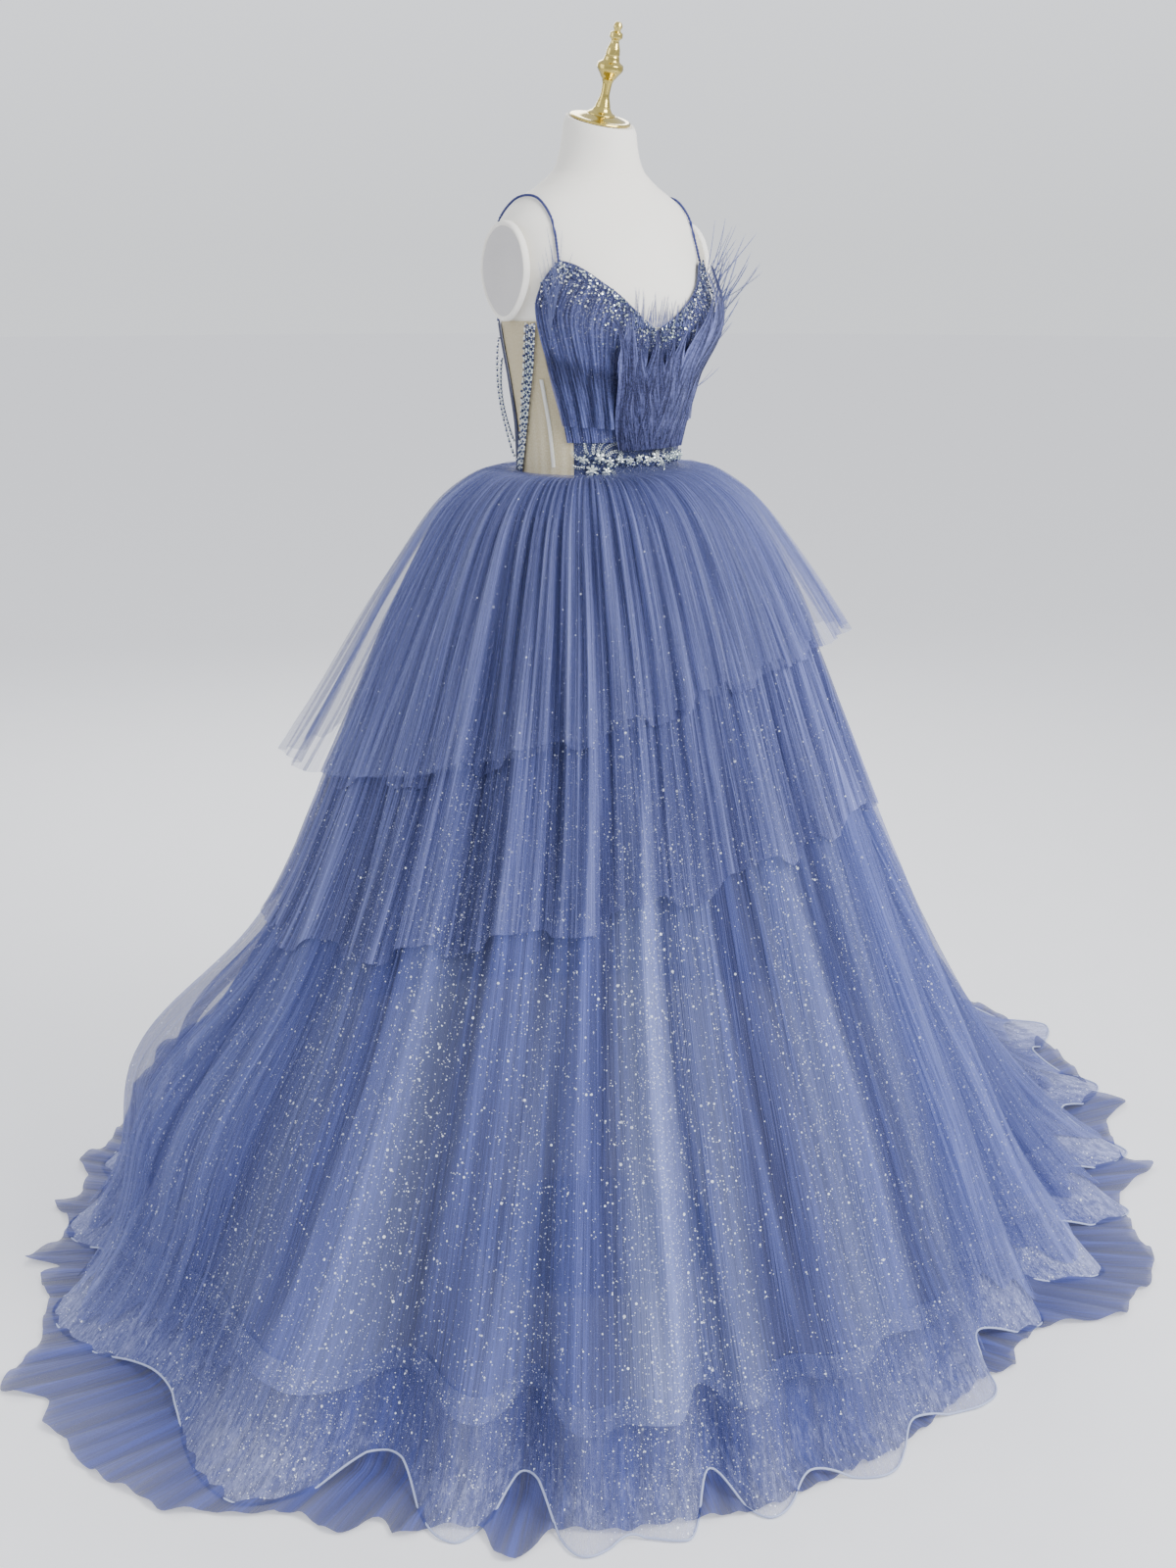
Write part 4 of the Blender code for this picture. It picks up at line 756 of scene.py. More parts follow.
@cache
def stone_tree() -> Tree:
    """Geometry Nodes that set a small part at every point, turned and sized by the point's values."""
    w, given, out = new_group(
        "set_stones", "GeometryNodeTree",
        [("Geometry", "NodeSocketGeometry", None), ("Stone", "NodeSocketObject", None),
         ("Finish", "NodeSocketMaterial", None)],
        [("Geometry", "NodeSocketGeometry")])
    stone = w.add("GeometryNodeObjectInfo", {"Object": given["Stone"], "As Instance": True})
    turn = w.add("GeometryNodeInputNamedAttribute", {"Name": "turn"}, data_type="FLOAT_VECTOR")
    size = w.add("GeometryNodeInputNamedAttribute", {"Name": "size"}, data_type="FLOAT_VECTOR")
    euler = w.add("FunctionNodeEulerToRotation", {0: turn.outputs["Attribute"]})
    points = w.add("GeometryNodeMeshToPoints", {"Mesh": given["Geometry"]})
    placed = w.add("GeometryNodeInstanceOnPoints", {"Points": points.outputs[0],
                                                    "Instance": stone.outputs["Geometry"],
                                                    "Rotation": euler.outputs[0],
                                                    "Scale": size.outputs["Attribute"]})
    real = w.add("GeometryNodeRealizeInstances", {"Geometry": placed.outputs[0]})
    dressed = w.add("GeometryNodeSetMaterial", {"Geometry": real.outputs[0], "Material": given["Finish"]})
    w.feed(out["Geometry"], dressed.outputs[0])
    return w.tree


def run_tree(name: str, mesh: bpy.types.Mesh, tree: Tree, inputs: dict,
             finish: str) -> Piece:
    """Runs a tree on a mesh and keeps the result as a plain mesh.

    Args:
        name: The piece's name.
        mesh: What the tree starts from.
        tree: The Geometry Nodes tree.
        inputs: Values by the tree's input names.
        finish: Name of the piece's finish.

    Returns:
        The finished piece.
    """
    start = bpy.data.objects.new(name + "_start", mesh)
    bpy.context.scene.collection.objects.link(start)
    modifier = start.modifiers.new("made", "NODES")
    modifier.node_group = tree
    sockets = {item.name: item.identifier for item in tree.interface.items_tree
               if item.item_type == "SOCKET" and item.in_out == "INPUT"}
    for label, value in {**inputs, "Finish": Finishes.get(finish)}.items():
        modifier[sockets[label]] = value
    graph = bpy.context.evaluated_depsgraph_get()
    made = bpy.data.meshes.new_from_object(start.evaluated_get(graph), depsgraph=graph)
    bpy.data.objects.remove(start, do_unlink=True)
    made.name = name
    made.materials.clear()
    return new_object(name, made, finish)


def swept_cord(name: str, path: Array, radius: float, finish: str, sides: int = 6,
               closed: bool = False) -> Piece:
    """Round cord along a path.

    Args:
        name: The piece's name.
        path: Points along it.
        radius: Its radius in metres.
        finish: Name of its finish.
        sides: Faces round it.
        closed: Whether it joins its own start.

    Returns:
        The cord's object.
    """
    mesh = bpy.data.meshes.new(name + "_line")
    count = len(path)
    edges = [(k, (k + 1) % count) for k in range(count if closed else count - 1)]
    mesh.from_pydata(np.asarray(path).tolist(), edges, [])
    return run_tree(name, mesh, cord_tree(), {"Radius": radius, "Sides": sides}, finish)


@dataclass
class StoneSetting:
    """Places for one kind of small part: points with a turn and a size each."""

    points: list[Vector] = field(default_factory=list)
    turns: list[Euler] = field(default_factory=list)
    sizes: list[tuple[float, float, float]] = field(default_factory=list)

    def put(self, point: Vector, normal: Vector, size: float | tuple[float, float, float],
            spin: float = 0.0) -> None:
        """Adds a place.

        Args:
            point: Where its base is.
            normal: Where its face looks.
            size: Its scale.
            spin: Turn about the normal, in radians.
        """
        rotation = normal.to_track_quat("Z", "Y").to_matrix() @ Matrix.Rotation(spin, 3, "Z")
        self.points.append(point)
        self.turns.append(rotation.to_euler())
        self.sizes.append((size, size, size) if isinstance(size, float) else size)

    def build(self, name: str, stone: Piece, finish: str) -> Piece:
        """Sets the stones as one joined mesh."""
        mesh = bpy.data.meshes.new(name + "_places")
        mesh.from_pydata([tuple(p) for p in self.points], [], [])
        for label, rows in (("turn", [tuple(t) for t in self.turns]), ("size", self.sizes)):
            attribute = mesh.attributes.new(label, "FLOAT_VECTOR", "POINT")
            attribute.data.foreach_set("vector", np.array(rows, np.float32).ravel())
        return run_tree(name, mesh, stone_tree(), {"Stone": stone}, finish)


class Stone(Enum):
    """Shapes of the small parts, as sides, then (radius, height) rings from the top."""

    ROUND = (8, ((0.28, 0.62), (0.5, 0.34), (0.46, 0.05), (0.3, 0.0)))
    PETAL = (6, ((0.16, 0.5), (0.5, 0.24), (0.46, 0.04), (0.3, 0.0)))
    SEQUIN = (6, ((0.42, 0.1), (0.5, 0.02), (0.48, 0.0)))
    BEAD = (6, ((0.2, 0.96), (0.46, 0.7), (0.46, 0.3), (0.2, 0.04)))

    def template(self) -> Piece:
        """A unit-sized part to set, kept out of the render."""
        name = f"unit_{self.name.lower()}"
        if name in bpy.data.objects:
            return bpy.data.objects[name]
        sides, rings = self.value
        obj = lathe(name, rings, sides, "crystal_glass")
        obj.data.shade_flat()
        obj.hide_render = True
        return obj


def drop_templates() -> None:
    """Removes the unit parts once everything is set."""
    for kind in Stone:
        obj = bpy.data.objects.get(f"unit_{kind.name.lower()}")
        if obj:
            bpy.data.objects.remove(obj, do_unlink=True)


def lathe(name: str, profile: Sequence[tuple[float, float]], segments: int, finish: str,
          placing: Matrix = Matrix.Identity(4), oval: tuple[float, float] = (1.0, 1.0)) -> Piece:
    """Turned solid from a profile of radius and height, closed at both ends.

    Args:
        name: The piece's name.
        profile: Radius and height pairs from the top down.
        segments: Faces round it.
        finish: Name of its finish.
        placing: Where its own origin and axis go.
        oval: Stretch along its two cross axes.

    Returns:
        The solid's object.
    """
    bm = bmesh.new()
    rings = []
    for radius, height in profile:
        turns = [2.0 * math.pi * k / segments for k in range(segments)]
        rings.append([bm.verts.new((radius * oval[0] * math.cos(a), radius * oval[1] * math.sin(a), height))
                      for a in turns])
    for upper, lower in zip(rings, rings[1:]):
        for k in range(segments):
            m = (k + 1) % segments
            bm.faces.new((upper[k], lower[k], lower[m], upper[m]))
    bm.faces.new(rings[0])
    bm.faces.new(rings[-1][::-1])
    bmesh.ops.recalc_face_normals(bm, faces=bm.faces)
    bmesh.ops.transform(bm, matrix=placing, verts=bm.verts)
    mesh = bpy.data.meshes.new(name)
    bm.to_mesh(mesh)
    bm.free()
    mesh.shade_smooth()
    mesh.set_sharp_from_angle(angle=math.radians(32.0))
    return new_object(name, mesh, finish)


# Skirt --------------------

@dataclass(frozen=True)
class SkirtLayer:
    """One sheet of the skirt: its levels, how far out it stands and what it stands for."""

    name: str
    slot: str
    finish: str
    nodes: tuple[str, ...]
    top: float
    hem_level: float = 1.0
    hem_z: float = 0.0
    hem_tilt: float = 0.0
    out: float = 0.0
    flare: float = 0.0
    ruffle: float = 0.0
    own_folds: float = 0.001
    ragged: float = 0.0
    steps: float = 0.0
    billow: float = 1.0
    rows: int = 60
    columns: int = 720
    seed: int = 1
    sides: tuple[tuple[float, float], ...] = ((-180.0, 0.0), (180.0, 0.0))
    side_cover: float = 0.5
    fade: float = 0.0


@dataclass
class GatheredSkirt:
    """All the skirt's cloth, from the under-tulle out to the veil."""

    shape: SkirtShape = field(default_factory=SkirtShape)
    layers: tuple[SkirtLayer, ...] = (
        SkirtLayer("skirt_glitter", "glitter_tulle", "glitter_skirt_cloth", ("skirt_main",), 0.0, 0.918,
                   out=-0.003, billow=0.2, rows=112, columns=760, own_folds=0.0008, seed=5),
        SkirtLayer("skirt_outer_tulle", "sheer_tulle", "outer_tulle_cloth", (), 0.0, 0.955, out=0.006,
                   ragged=0.055, rows=96, columns=760, own_folds=0.0034, seed=8, side_cover=1.0),
        SkirtLayer("skirt_hem_braid", "hem_braid", "braid_cloth", ("hem_braid",), 0.9, 1.0, out=-0.001,
                   rows=18, columns=1080, own_folds=0.0, seed=9, fade=0.6),
        SkirtLayer("tier_lower", "glitter_tulle", "tier_cloth", ("skirt_tier_lower",), 0.08, hem_z=0.56,
                   hem_tilt=0.09, out=0.009, flare=0.003, ruffle=0.004, ragged=0.002, steps=0.009, rows=56,
                   seed=12, own_folds=0.0022, side_cover=0.2),
        SkirtLayer("tier_upper", "glitter_tulle", "tier_cloth", ("skirt_tier_upper",), 0.0, hem_z=0.765,
                   hem_tilt=0.095, out=0.0115, flare=0.004, ruffle=0.004, ragged=0.002, steps=0.009, rows=56,
                   seed=15, own_folds=0.0022, side_cover=0.1),
        SkirtLayer("tier_veil", "sheer_tulle", "veil_cloth", ("skirt_veil",), 0.0, hem_z=0.765, hem_tilt=0.095,
                   out=0.014, flare=0.006, ruffle=0.004, ragged=0.003, rows=56, seed=18, own_folds=0.0028,
                   sides=((-180.0, 0.04), (-130.0, 0.058), (-100.0, 0.04), (-70.0, 0.012), (-30.0, 0.006),
                          (5.0, 0.01), (40.0, 0.038), (60.0, 0.042), (110.0, 0.034), (180.0, 0.04))),
    )

    def hem_levels(self, layer: SkirtLayer, deg: Array) -> Array:
        """Levels at which a layer ends.

        Args:
            layer: The sheet.
            deg: Angles from the front, in degrees.

        Returns:
            A level for each angle, the tiers' high in front and low behind.
        """
        if layer.hem_z:
            tilt = np.cos(np.radians(deg - self.shape.tier_tilt_deg))
            level = self.shape.level_of(layer.hem_z + layer.hem_tilt * tilt)
        else:
            level = np.full_like(deg, layer.hem_level)
        jag = ring_folds(deg, 90, layer.seed + 40) * 0.6 + ring_folds(deg, 37, layer.seed + 41) * 0.8
        cut = np.tanh(5.0 * ring_folds(deg, 17, layer.seed + 60, 0.6))
        return np.minimum(1.0, level + layer.ragged * 0.5 * jag + layer.steps * cut)

    def sheet(self, layer: SkirtLayer) -> tuple[Array, Array, dict[str, Array]]:
        """Points, cloth coordinates and marks of one layer.

        Args:
            layer: The sheet.

        Returns:
            Grid points, UV in metres and the fold, cover and glitter marks.
        """
        turn = np.linspace(-180.0, 180.0, layer.columns, endpoint=False)
        share = np.linspace(0.0, 1.0, layer.rows)[:, None] ** 1.12
        hem = self.hem_levels(layer, turn)[None, :]
        s = layer.top + (hem - layer.top) * share
        deg = np.broadcast_to(turn[None, :], s.shape)
        relief = self.shape.folds(deg, s)
        own = ring_folds(deg + 3.0 * share, 74, layer.seed) * 0.6 + ring_folds(deg, 171, layer.seed + 1) * 0.4
        stand = ramp(s, 0.0, 0.12)
        out = layer.out * (0.25 + 0.75 * stand) + layer.flare * share ** 1.6
        out = out + layer.ruffle * share ** 2 * ring_folds(deg, 23, layer.seed + 2)
        out = out + layer.own_folds * stand * (1.0 - 0.6 * ramp(s, 0.85, 1.0)) * own + relief
        angles, flares = zip(*layer.sides)
        out = out + smooth_curve(angles, flares, apart(deg, 0.0)) * share ** 1.25
        points = self.shape.point(deg, s, out, layer.billow)
        points[..., 2] = np.maximum(points[..., 2], 0.0008)
        # Fold mark: painted shade in the folds' and hem flutes' valleys, painted light on their crests, plus broad
        # darker and lighter panels at random round the skirt.
        wave = (self.shape.hem_reach(deg) - self.shape.hem_outline(deg)) * self.shape.column(5, s)
        fine = (relief + own * layer.own_folds) / (0.007 + 0.017 * ramp(s, 0.0, 0.4))
        panels = 0.2 * ramp(s, 0.25, 0.55) * ring_folds(deg + 3.0 * s, 15, 79)
        fold = np.clip(0.44 + fine * 0.8 + wave / 0.1 + panels, 0.0, 1.0)
        bright = 0.42 + 0.34 * ring_folds(deg + 4.0 * s, 17, 77) + 0.7 * bell(apart(deg, -33.0), 4.5)
        height = 0.18 + 0.82 * ramp(-points[..., 2], -0.98, -0.55)
        side = ramp(np.abs(apart(deg, -38.0)), 18.0, 75.0)
        marks = {"fold": fold, "glitter": np.clip(height * np.clip(bright, 0.15, 1.0), 0.0, 1.0),
                 "cover": np.clip(0.5 + (side - 0.5) * layer.side_cover
                                  - layer.fade * (1.0 - ramp(share, 0.0, 0.7)), 0.0, 1.0)}
        length = np.linalg.norm(np.diff(points, axis=0), axis=-1).mean(axis=1)
        down = np.concatenate(([0.0], np.cumsum(length)))[:, None]
        across = np.linspace(0.0, 12.6, layer.columns + 1)[None, :]
        uv = np.stack(np.broadcast_arrays(across, down), axis=-1)
        return points, uv, marks

    def build(self) -> None:
        """Builds every layer, then the pale cord along the braid's hem and the under-tulle."""
        for layer in self.layers:
            points, uv, marks = self.sheet(layer)
            obj = grid_object(layer.name, points, uv, layer.finish, True, marks)
            place_piece(obj, layer.slot, *layer.nodes)
            if layer.slot == "hem_braid":
                self.build_edge(points[-1])
        self.build_under_tulle()

    def build_edge(self, hem: Array) -> None:
        """Pale cord that runs along the braid's hem."""
        edge = swept_cord("hem_edge", hem + np.array([0.0, 0.0, 0.0009]), 0.0015, "braid_edge_cloth", 5, True)
        place_piece(edge, "hem_braid")

    def build_under_tulle(self) -> None:
        """Soft tulle inside the hem that spreads on the floor in points beyond it."""
        reach_table = (
            (-120.0, 0.765), (-97.0, 0.815), (-86.0, 0.835), (-76.0, 0.815), (-64.0, 0.735), (-45.0, 0.705),
            (-28.0, 0.69), (-10.0, 0.655), (12.0, 0.63), (24.0, 0.64), (33.0, 0.73), (42.0, 0.785),
            (55.0, 0.79), (70.0, 0.88), (90.0, 1.06), (110.0, 1.205), (140.0, 1.245), (165.0, 1.22),
            (190.0, 1.01), (205.0, 0.86), (225.0, 0.785), (240.0, 0.765),
        )
        columns, rows = 900, 20
        deg = np.linspace(-120.0, 240.0, columns, endpoint=False)
        reach = smooth_curve([a for a, _ in reach_table], [r for _, r in reach_table], deg)
        hem = self.shape.hem_reach(deg)
        jag = np.abs(ring_folds(deg, 23, 201, 0.9)) ** 2.2 * 0.066 + ring_folds(deg, 61, 202) * 0.003
        outer = hem + np.maximum(reach - hem, -0.02) - 0.026 + jag * (0.25 + 0.75 * ramp(reach - hem, 0.0, 0.09))
        seam = self.shape.point(deg, np.full_like(deg, 0.9), -0.014)
        near = np.hypot(seam[:, 0], seam[:, 1])
        share = np.linspace(0.0, 1.0, rows)[:, None]
        radius = near + (outer - near) * share
        drop = (1.0 - np.clip(share / 0.42, 0.0, 1.0)) ** 1.7
        crease = ring_folds(deg + 2.0 * share, 118, 204) * (0.25 + share) * 0.004
        z = 0.0035 + seam[None, :, 2] * drop * 0.96 + np.maximum(0.0, crease + 0.002)
        angle = np.arctan2(seam[:, 0], -seam[:, 1])
        points = np.stack((np.sin(angle) * radius, -np.cos(angle) * radius, z), axis=-1)
        across = np.linspace(0.0, 9.0, columns + 1)[None, :]
        uv = np.stack(np.broadcast_arrays(across, share * 0.3), axis=-1)
        # Fold mark: painted shade in the creases' valleys and painted light on their crests.
        marks = {"fold": np.clip(0.5 + crease / 0.012, 0.0, 1.0), "cover": 1.0 - 0.55 * share}
        obj = grid_object("under_tulle", points, uv, "under_tulle_cloth", True, marks)
        place_piece(obj, "under_tulle", "skirt_under_tulle")


# Dress form --------------------

@dataclass
class DressForm:
    """Limbless form with its arm plates, neck plate and turned finial."""

    shape: FormShape = field(default_factory=FormShape)
    bottom_z: float = 0.8
    inset: float = 0.0009
    inset_top_z: float = 1.37
    arm_flat_x: float = 0.1465
    neck_tilt: float = math.radians(17.0)
    tilt_start_z: float = 1.474
    seam_z: float = 1.4585
    seam_depth: float = 0.0008
    plate_radius: float = 0.0395
    plate_thick: float = 0.0035
    seam_gap: float = 0.0004
    finial: tuple[tuple[float, float], ...] = (
        (0.018, 0.0), (0.018, 0.004), (0.0125, 0.008), (0.0085, 0.018), (0.0058, 0.03),
        (0.0062, 0.042), (0.011, 0.052), (0.0168, 0.062), (0.0162, 0.0665), (0.0105, 0.071),
        (0.0082, 0.085), (0.0052, 0.096), (0.0084, 0.1005), (0.008, 0.105), (0.0042, 0.108),
        (0.0058, 0.113), (0.004, 0.118),
    )
    arm_z: float = 1.345
    arm_half_height: float = 0.062
    arm_half_depth: float = 0.046
    arm_thick: float = 0.009
    arm_taper: float = 0.24

    def neck_frame(self, height: float) -> Matrix:
        """Placement on the tilted neck cap, a distance above it."""
        shift, top = self.shape.neck_shift, self.shape.neck_top_z
        cap = Vector((0.0, shift, top + shift * math.tan(self.neck_tilt)))
        return Matrix.Translation(cap) @ Matrix.Rotation(self.neck_tilt, 4, "X") @ Matrix.Translation((0, 0, height))

    def build_torso(self) -> None:
        """Cloth-covered shell with the seam round its neck, closed above and below."""
        heights = np.unique(np.concatenate((np.linspace(self.bottom_z, self.shape.neck_top_z, 96),
                                            np.linspace(self.seam_z - 0.008, self.seam_z + 0.008, 15))))[::-1]
        deg = np.linspace(-180.0, 180.0, 144, endpoint=False)[None, :]
        z = heights[:, None] + 0.0 * deg
        slant = 0.01 * np.sin(np.radians(deg + 35.0))
        groove = self.seam_depth * bell(z - self.seam_z - slant, 0.0012)
        edge = 0.0022 * ramp(z, self.shape.neck_top_z - 0.004, self.shape.neck_top_z) ** 2
        inset = self.inset * (1.0 - ramp(z, self.inset_top_z - 0.01, self.inset_top_z))
        points = self.shape.point(deg + 0.0 * z, z, -(inset + groove + edge))
        points[..., 2] = z
        points[..., 0] = np.clip(points[..., 0], -self.arm_flat_x, self.arm_flat_x)
        slope = np.clip((z - self.tilt_start_z) / (self.shape.neck_top_z - self.tilt_start_z), 0.0, 1.0)
        points[..., 2] += points[..., 1] * math.tan(self.neck_tilt) * slope
        uv = np.zeros((len(heights), deg.shape[1] + 1, 2))
        obj = grid_object("dress_form_torso", points, uv, "form_cover", True)
        bm = bmesh.new()
        bm.from_mesh(obj.data)
        bmesh.ops.holes_fill(bm, edges=[e for e in bm.edges if e.is_boundary], sides=0)
        bmesh.ops.recalc_face_normals(bm, faces=bm.faces)
        bm.to_mesh(obj.data)
        bm.free()
        obj.data.set_sharp_from_angle(angle=math.radians(50.0))
        place_piece(obj, "form_cloth", "form_torso")

    def build_neck(self) -> None:
        """Gold plate with a rolled rim and the turned finial on it."""
        r, t = self.plate_radius, self.plate_thick
        rim = [(r - 0.004, t), (r - 0.002, t * 0.97), (r - 0.0006, t * 0.8), (r, t * 0.5),
               (r - 0.0006, t * 0.2), (r - 0.002, 0.0)]
        dish = [(0.003, t + 0.0005), (0.017, t + 0.0005), (0.0188, t + 0.0042), (0.0205, t + 0.004),
                (0.024, t + 0.0026), (0.029, t + 0.001), (r - 0.006, t - 0.0004)]
        plate = lathe("neck_gold_plate", dish + rim, 96, "gold_plate", self.neck_frame(self.seam_gap))
        place_piece(plate, "polished_gold", "neck_plate")
        radii, heights = zip(*self.finial)
        fine = np.linspace(heights[-1], heights[0], 150)
        turned = smooth_curve(heights, radii, fine)
        grooves = 0.0006 * (bell(fine - 0.0125, 0.0008) + bell(fine - 0.0475, 0.001) + bell(fine - 0.0775, 0.0009))
        profile = [(0.0012, heights[-1] + 0.0012), (0.0028, heights[-1] + 0.0008)]
        profile += [(float(a), float(b)) for a, b in zip(turned - grooves, fine)]
        finial = lathe("neck_gold_finial", profile, 56, "gold_plate",
                       self.neck_frame(2.0 * self.seam_gap + self.plate_thick + 0.0006))
        place_piece(finial, "polished_gold", "neck_finial")

    def build_arm_plates(self) -> None:
        """Oval plates where the arms would start, each a shallow dish in a pale rim."""
        for side, word in SIDES:
            x = side * (self.arm_flat_x + self.seam_gap)
            placing = Matrix.Translation((x, 0.0, self.arm_z)) @ Matrix.Rotation(side * math.pi / 2.0, 4, "Y")
            size, t = (self.arm_half_height, self.arm_half_depth), self.arm_thick
            rim = lathe(f"arm_rim_{word}", ((0.9, t * 0.82), (0.93, t * 0.97), (0.965, t), (0.99, t * 0.86),
                                            (1.0, t * 0.6), (1.0, t * 0.1), (0.985, 0.0)), 96, "form_cover",
                        placing, size)
            dish = lathe(f"arm_dish_{word}", ((0.2, t * 0.99), (0.55, t * 0.97), (0.84, t * 0.9),
                                              (0.9, t * 0.84), (0.9, t * 0.5)), 96, "arm_cap_paint", placing, size)
            for piece in (rim, dish):
                for vertex in piece.data.vertices:
                    low = max(0.0, self.arm_z - vertex.co.z) / self.arm_half_height
                    vertex.co.y *= 1.0 - self.arm_taper * low ** 1.5
            place_piece(rim, "form_plate_grey")
            place_piece(dish, "form_plate_grey", f"arm_plate_{word}")

    def build_stand(self) -> None:
        """Steel foot and pole under the skirt."""
        foot = lathe("stand_foot", ((0.02, 0.018), (0.15, 0.0172), (0.165, 0.0145), (0.1695, 0.009),
                                    (0.17, 0.004), (0.168, 0.0)), 96, "stand_metal")
        place_piece(foot, "stand_steel", "stand_base")
        top = self.bottom_z - self.seam_gap
        pole = lathe("stand_tube", ((0.0105, top), (0.0125, top - 0.002), (0.0125, 0.062), (0.016, 0.06),
                                    (0.0165, 0.052), (0.0165, 0.024), (0.016, 0.0184)), 48, "stand_metal")
        place_piece(pole, "stand_steel", "stand_pole")

    def build(self) -> None:
        """Builds the whole form."""
        self.build_torso()
        self.build_neck()
        self.build_arm_plates()
        self.build_stand()


# Bodice --------------------

Place = Callable[[Array, Array], tuple[Array, Array]]
Relief = Callable[[Array, Array], Array]


@dataclass(frozen=True)
class Edge:
    """Curve on the body: one row for each (height, angle)."""

    rows: tuple[tuple[float, float], ...]

    def deg_at(self, z: Array) -> Array:
        """Angle of the edge at a height."""
        keys, values = zip(*sorted(self.rows))
        return smooth_curve(keys, values, z)


@dataclass
class Bodice:
    """Cups, base panels, illusion mesh, plackets, lace, boning and straps."""

    shape: FormShape = field(default_factory=FormShape)
    base_out: float = 0.0019
    cup_out: float = 0.0048
    cup_pleat: float = 0.0016
    cup_bottom_z: float = 1.132
    cup_pleats: int = 30
    neckline: tuple[tuple[float, float], ...] = ((0.0, 1.272), (10.0, 1.287), (26.0, 1.322), (42.0, 1.352),
                                                 (50.0, 1.358))
    cup_edge: Edge = Edge(((1.13, 54.5), (1.17, 58.0), (1.22, 62.5), (1.27, 66.0), (1.3, 67.0),
                           (1.33, 62.0), (1.358, 50.0)))
    lace_edge: Edge = Edge(((1.09, 101.2), (1.16, 89.5), (1.22, 79.0), (1.28, 71.5)))
    boning_edge: Edge = Edge(((1.1, 65.5), (1.212, 70.0)))
    strap_x: float = 0.114
    strap_radius: float = 0.0019
    strap_start_deg: float = 50.6
    strap_foot_z: float = 1.356

    def panel(self, name: str, place: Place, size: tuple[int, int], out: float, finish: str,
              relief: Relief | None = None, marks: dict[str, Relief] | None = None,
              deep: float = 0.01) -> tuple[Piece, Array]:
        """One sheet on the body.

        Args:
            name: The piece's name.
            place: Angle and height at cloth places u, v from 0 to 1.
            size: Columns and rows of the sheet.
            out: Distance from the form.
            finish: Name of its finish.
            relief: Height added at u, v.
            marks: Glitter and cover values at u, v.
            deep: Relief that counts as a full crest, the top of the fold mark's painted light.

        Returns:
            The sheet and its grid points.
        """
        u, v = np.meshgrid(np.linspace(0.0, 1.0, size[0] + 1), np.linspace(0.0, 1.0, size[1] + 1))
        deg, z = place(u, v)
        raised = relief(u, v) if relief else np.zeros_like(u)
        points = self.shape.point(deg, z, out + raised)
        width, length = row_lengths(points, False)
        uv = np.stack((u * width, v * length), axis=-1)
        values = {key: rule(u, v) for key, rule in (marks or {}).items()}
        # Fold mark from the relief: painted shade in the valleys and painted light on the raised crests.
        values["fold"] = np.clip(raised / deep, 0.0, 1.0) if relief else np.full_like(u, 0.5)
        obj = grid_object(name, points, uv, finish, False, values, flip=bool(deg[0, -1] < deg[0, 0]))
        return obj, points

    def cup_place(self, side: float, top: float = 0.0, bottom: float = 1.0) -> Place:
        """Cup outline: neckline above, curved outer edge, centre seam, level bottom.

        Args:
            side: 1 for the wearer's left, -1 for the right.
            top: Share of the cup's height where the sheet starts.
            bottom: Share where it ends.

        Returns:
            A function from cloth places to angle and height.
        """
        def place(u: Array, v: Array) -> tuple[Array, Array]:
            """Angle and height at a cloth place."""
            v = top + (bottom - top) * v
            peak = self.neckline[-1]
            outer = self.cup_edge.deg_at(peak[1] + (self.cup_bottom_z - peak[1]) * v)
            neck_deg = peak[0] + (0.25 - peak[0]) * u
            neck_z = smooth_curve(*zip(*self.neckline), neck_deg)
            return side * (outer + (0.25 - outer) * u), neck_z + (self.cup_bottom_z - neck_z) * v
        return place

    def build_cup(self, word: str, side: float) -> None:
        """One cup, its loose lower flounce and the sequins along its neckline."""
        def pleats(u: Array, v: Array) -> Array:
            """Fine pleats that fan from the neckline."""
            lean = u + 0.035 * v * np.sin(3.1 * u + side)
            fine = 0.5 + 0.5 * ring_folds(lean * 350.0, self.cup_pleats, 31 + int(side), 0.6)
            wide = 0.5 + 0.5 * ring_folds(lean * 350.0, 9, 37 + int(side), 0.8)
            return (self.cup_pleat * fine + 0.0016 * wide * ramp(v, 0.05, 0.5)) * (0.45 + 0.55 * ramp(v, 0.0, 0.3))

        def sparkle(u: Array, v: Array) -> Array:
            """Glitter, dense under the neckline."""
            return 0.22 + 0.78 * (1.0 - ramp(v, 0.06, 0.42))

        cup, points = self.panel(f"cup_{word}", self.cup_place(side), (240, 70), self.cup_out - 0.0013,
                                 "pleat_cloth", pleats, {"glitter": sparkle}, 0.003)
        place_piece(cup, "beaded_lace", f"bodice_cup_{word}")

        def flounce(u: Array, v: Array) -> Array:
            """Loose waves that stand off toward the free lower edge."""
            wave = ring_folds(u * 355.0 + 14.0 * v, 7, 43 + int(side), 0.5)
            fine = ring_folds(u * 355.0, 31, 47 + int(side), 0.7)
            return ramp(v, 0.0, 1.0) * (0.005 + 0.0042 * wave) + 0.0011 * fine * ramp(v, 0.0, 0.2)
        loose, grid = self.panel(f"cup_flounce_{word}", self.cup_place(side, 0.42, 0.9), (200, 44),
                                 self.cup_out + 0.0012, "flounce_cloth", flounce, {}, 0.009)
        loose_marks = loose.data.attributes["cover"]
        down = np.linspace(0.0, 1.0, grid.shape[0])
        cover = np.repeat(ramp(down, 0.0, 0.4) * (1.0 - 0.35 * down), grid.shape[1])
        loose_marks.data.foreach_set("value", cover.astype(np.float32))
        place_piece(loose, "beaded_lace")
        self.sew_neckline(word, side)

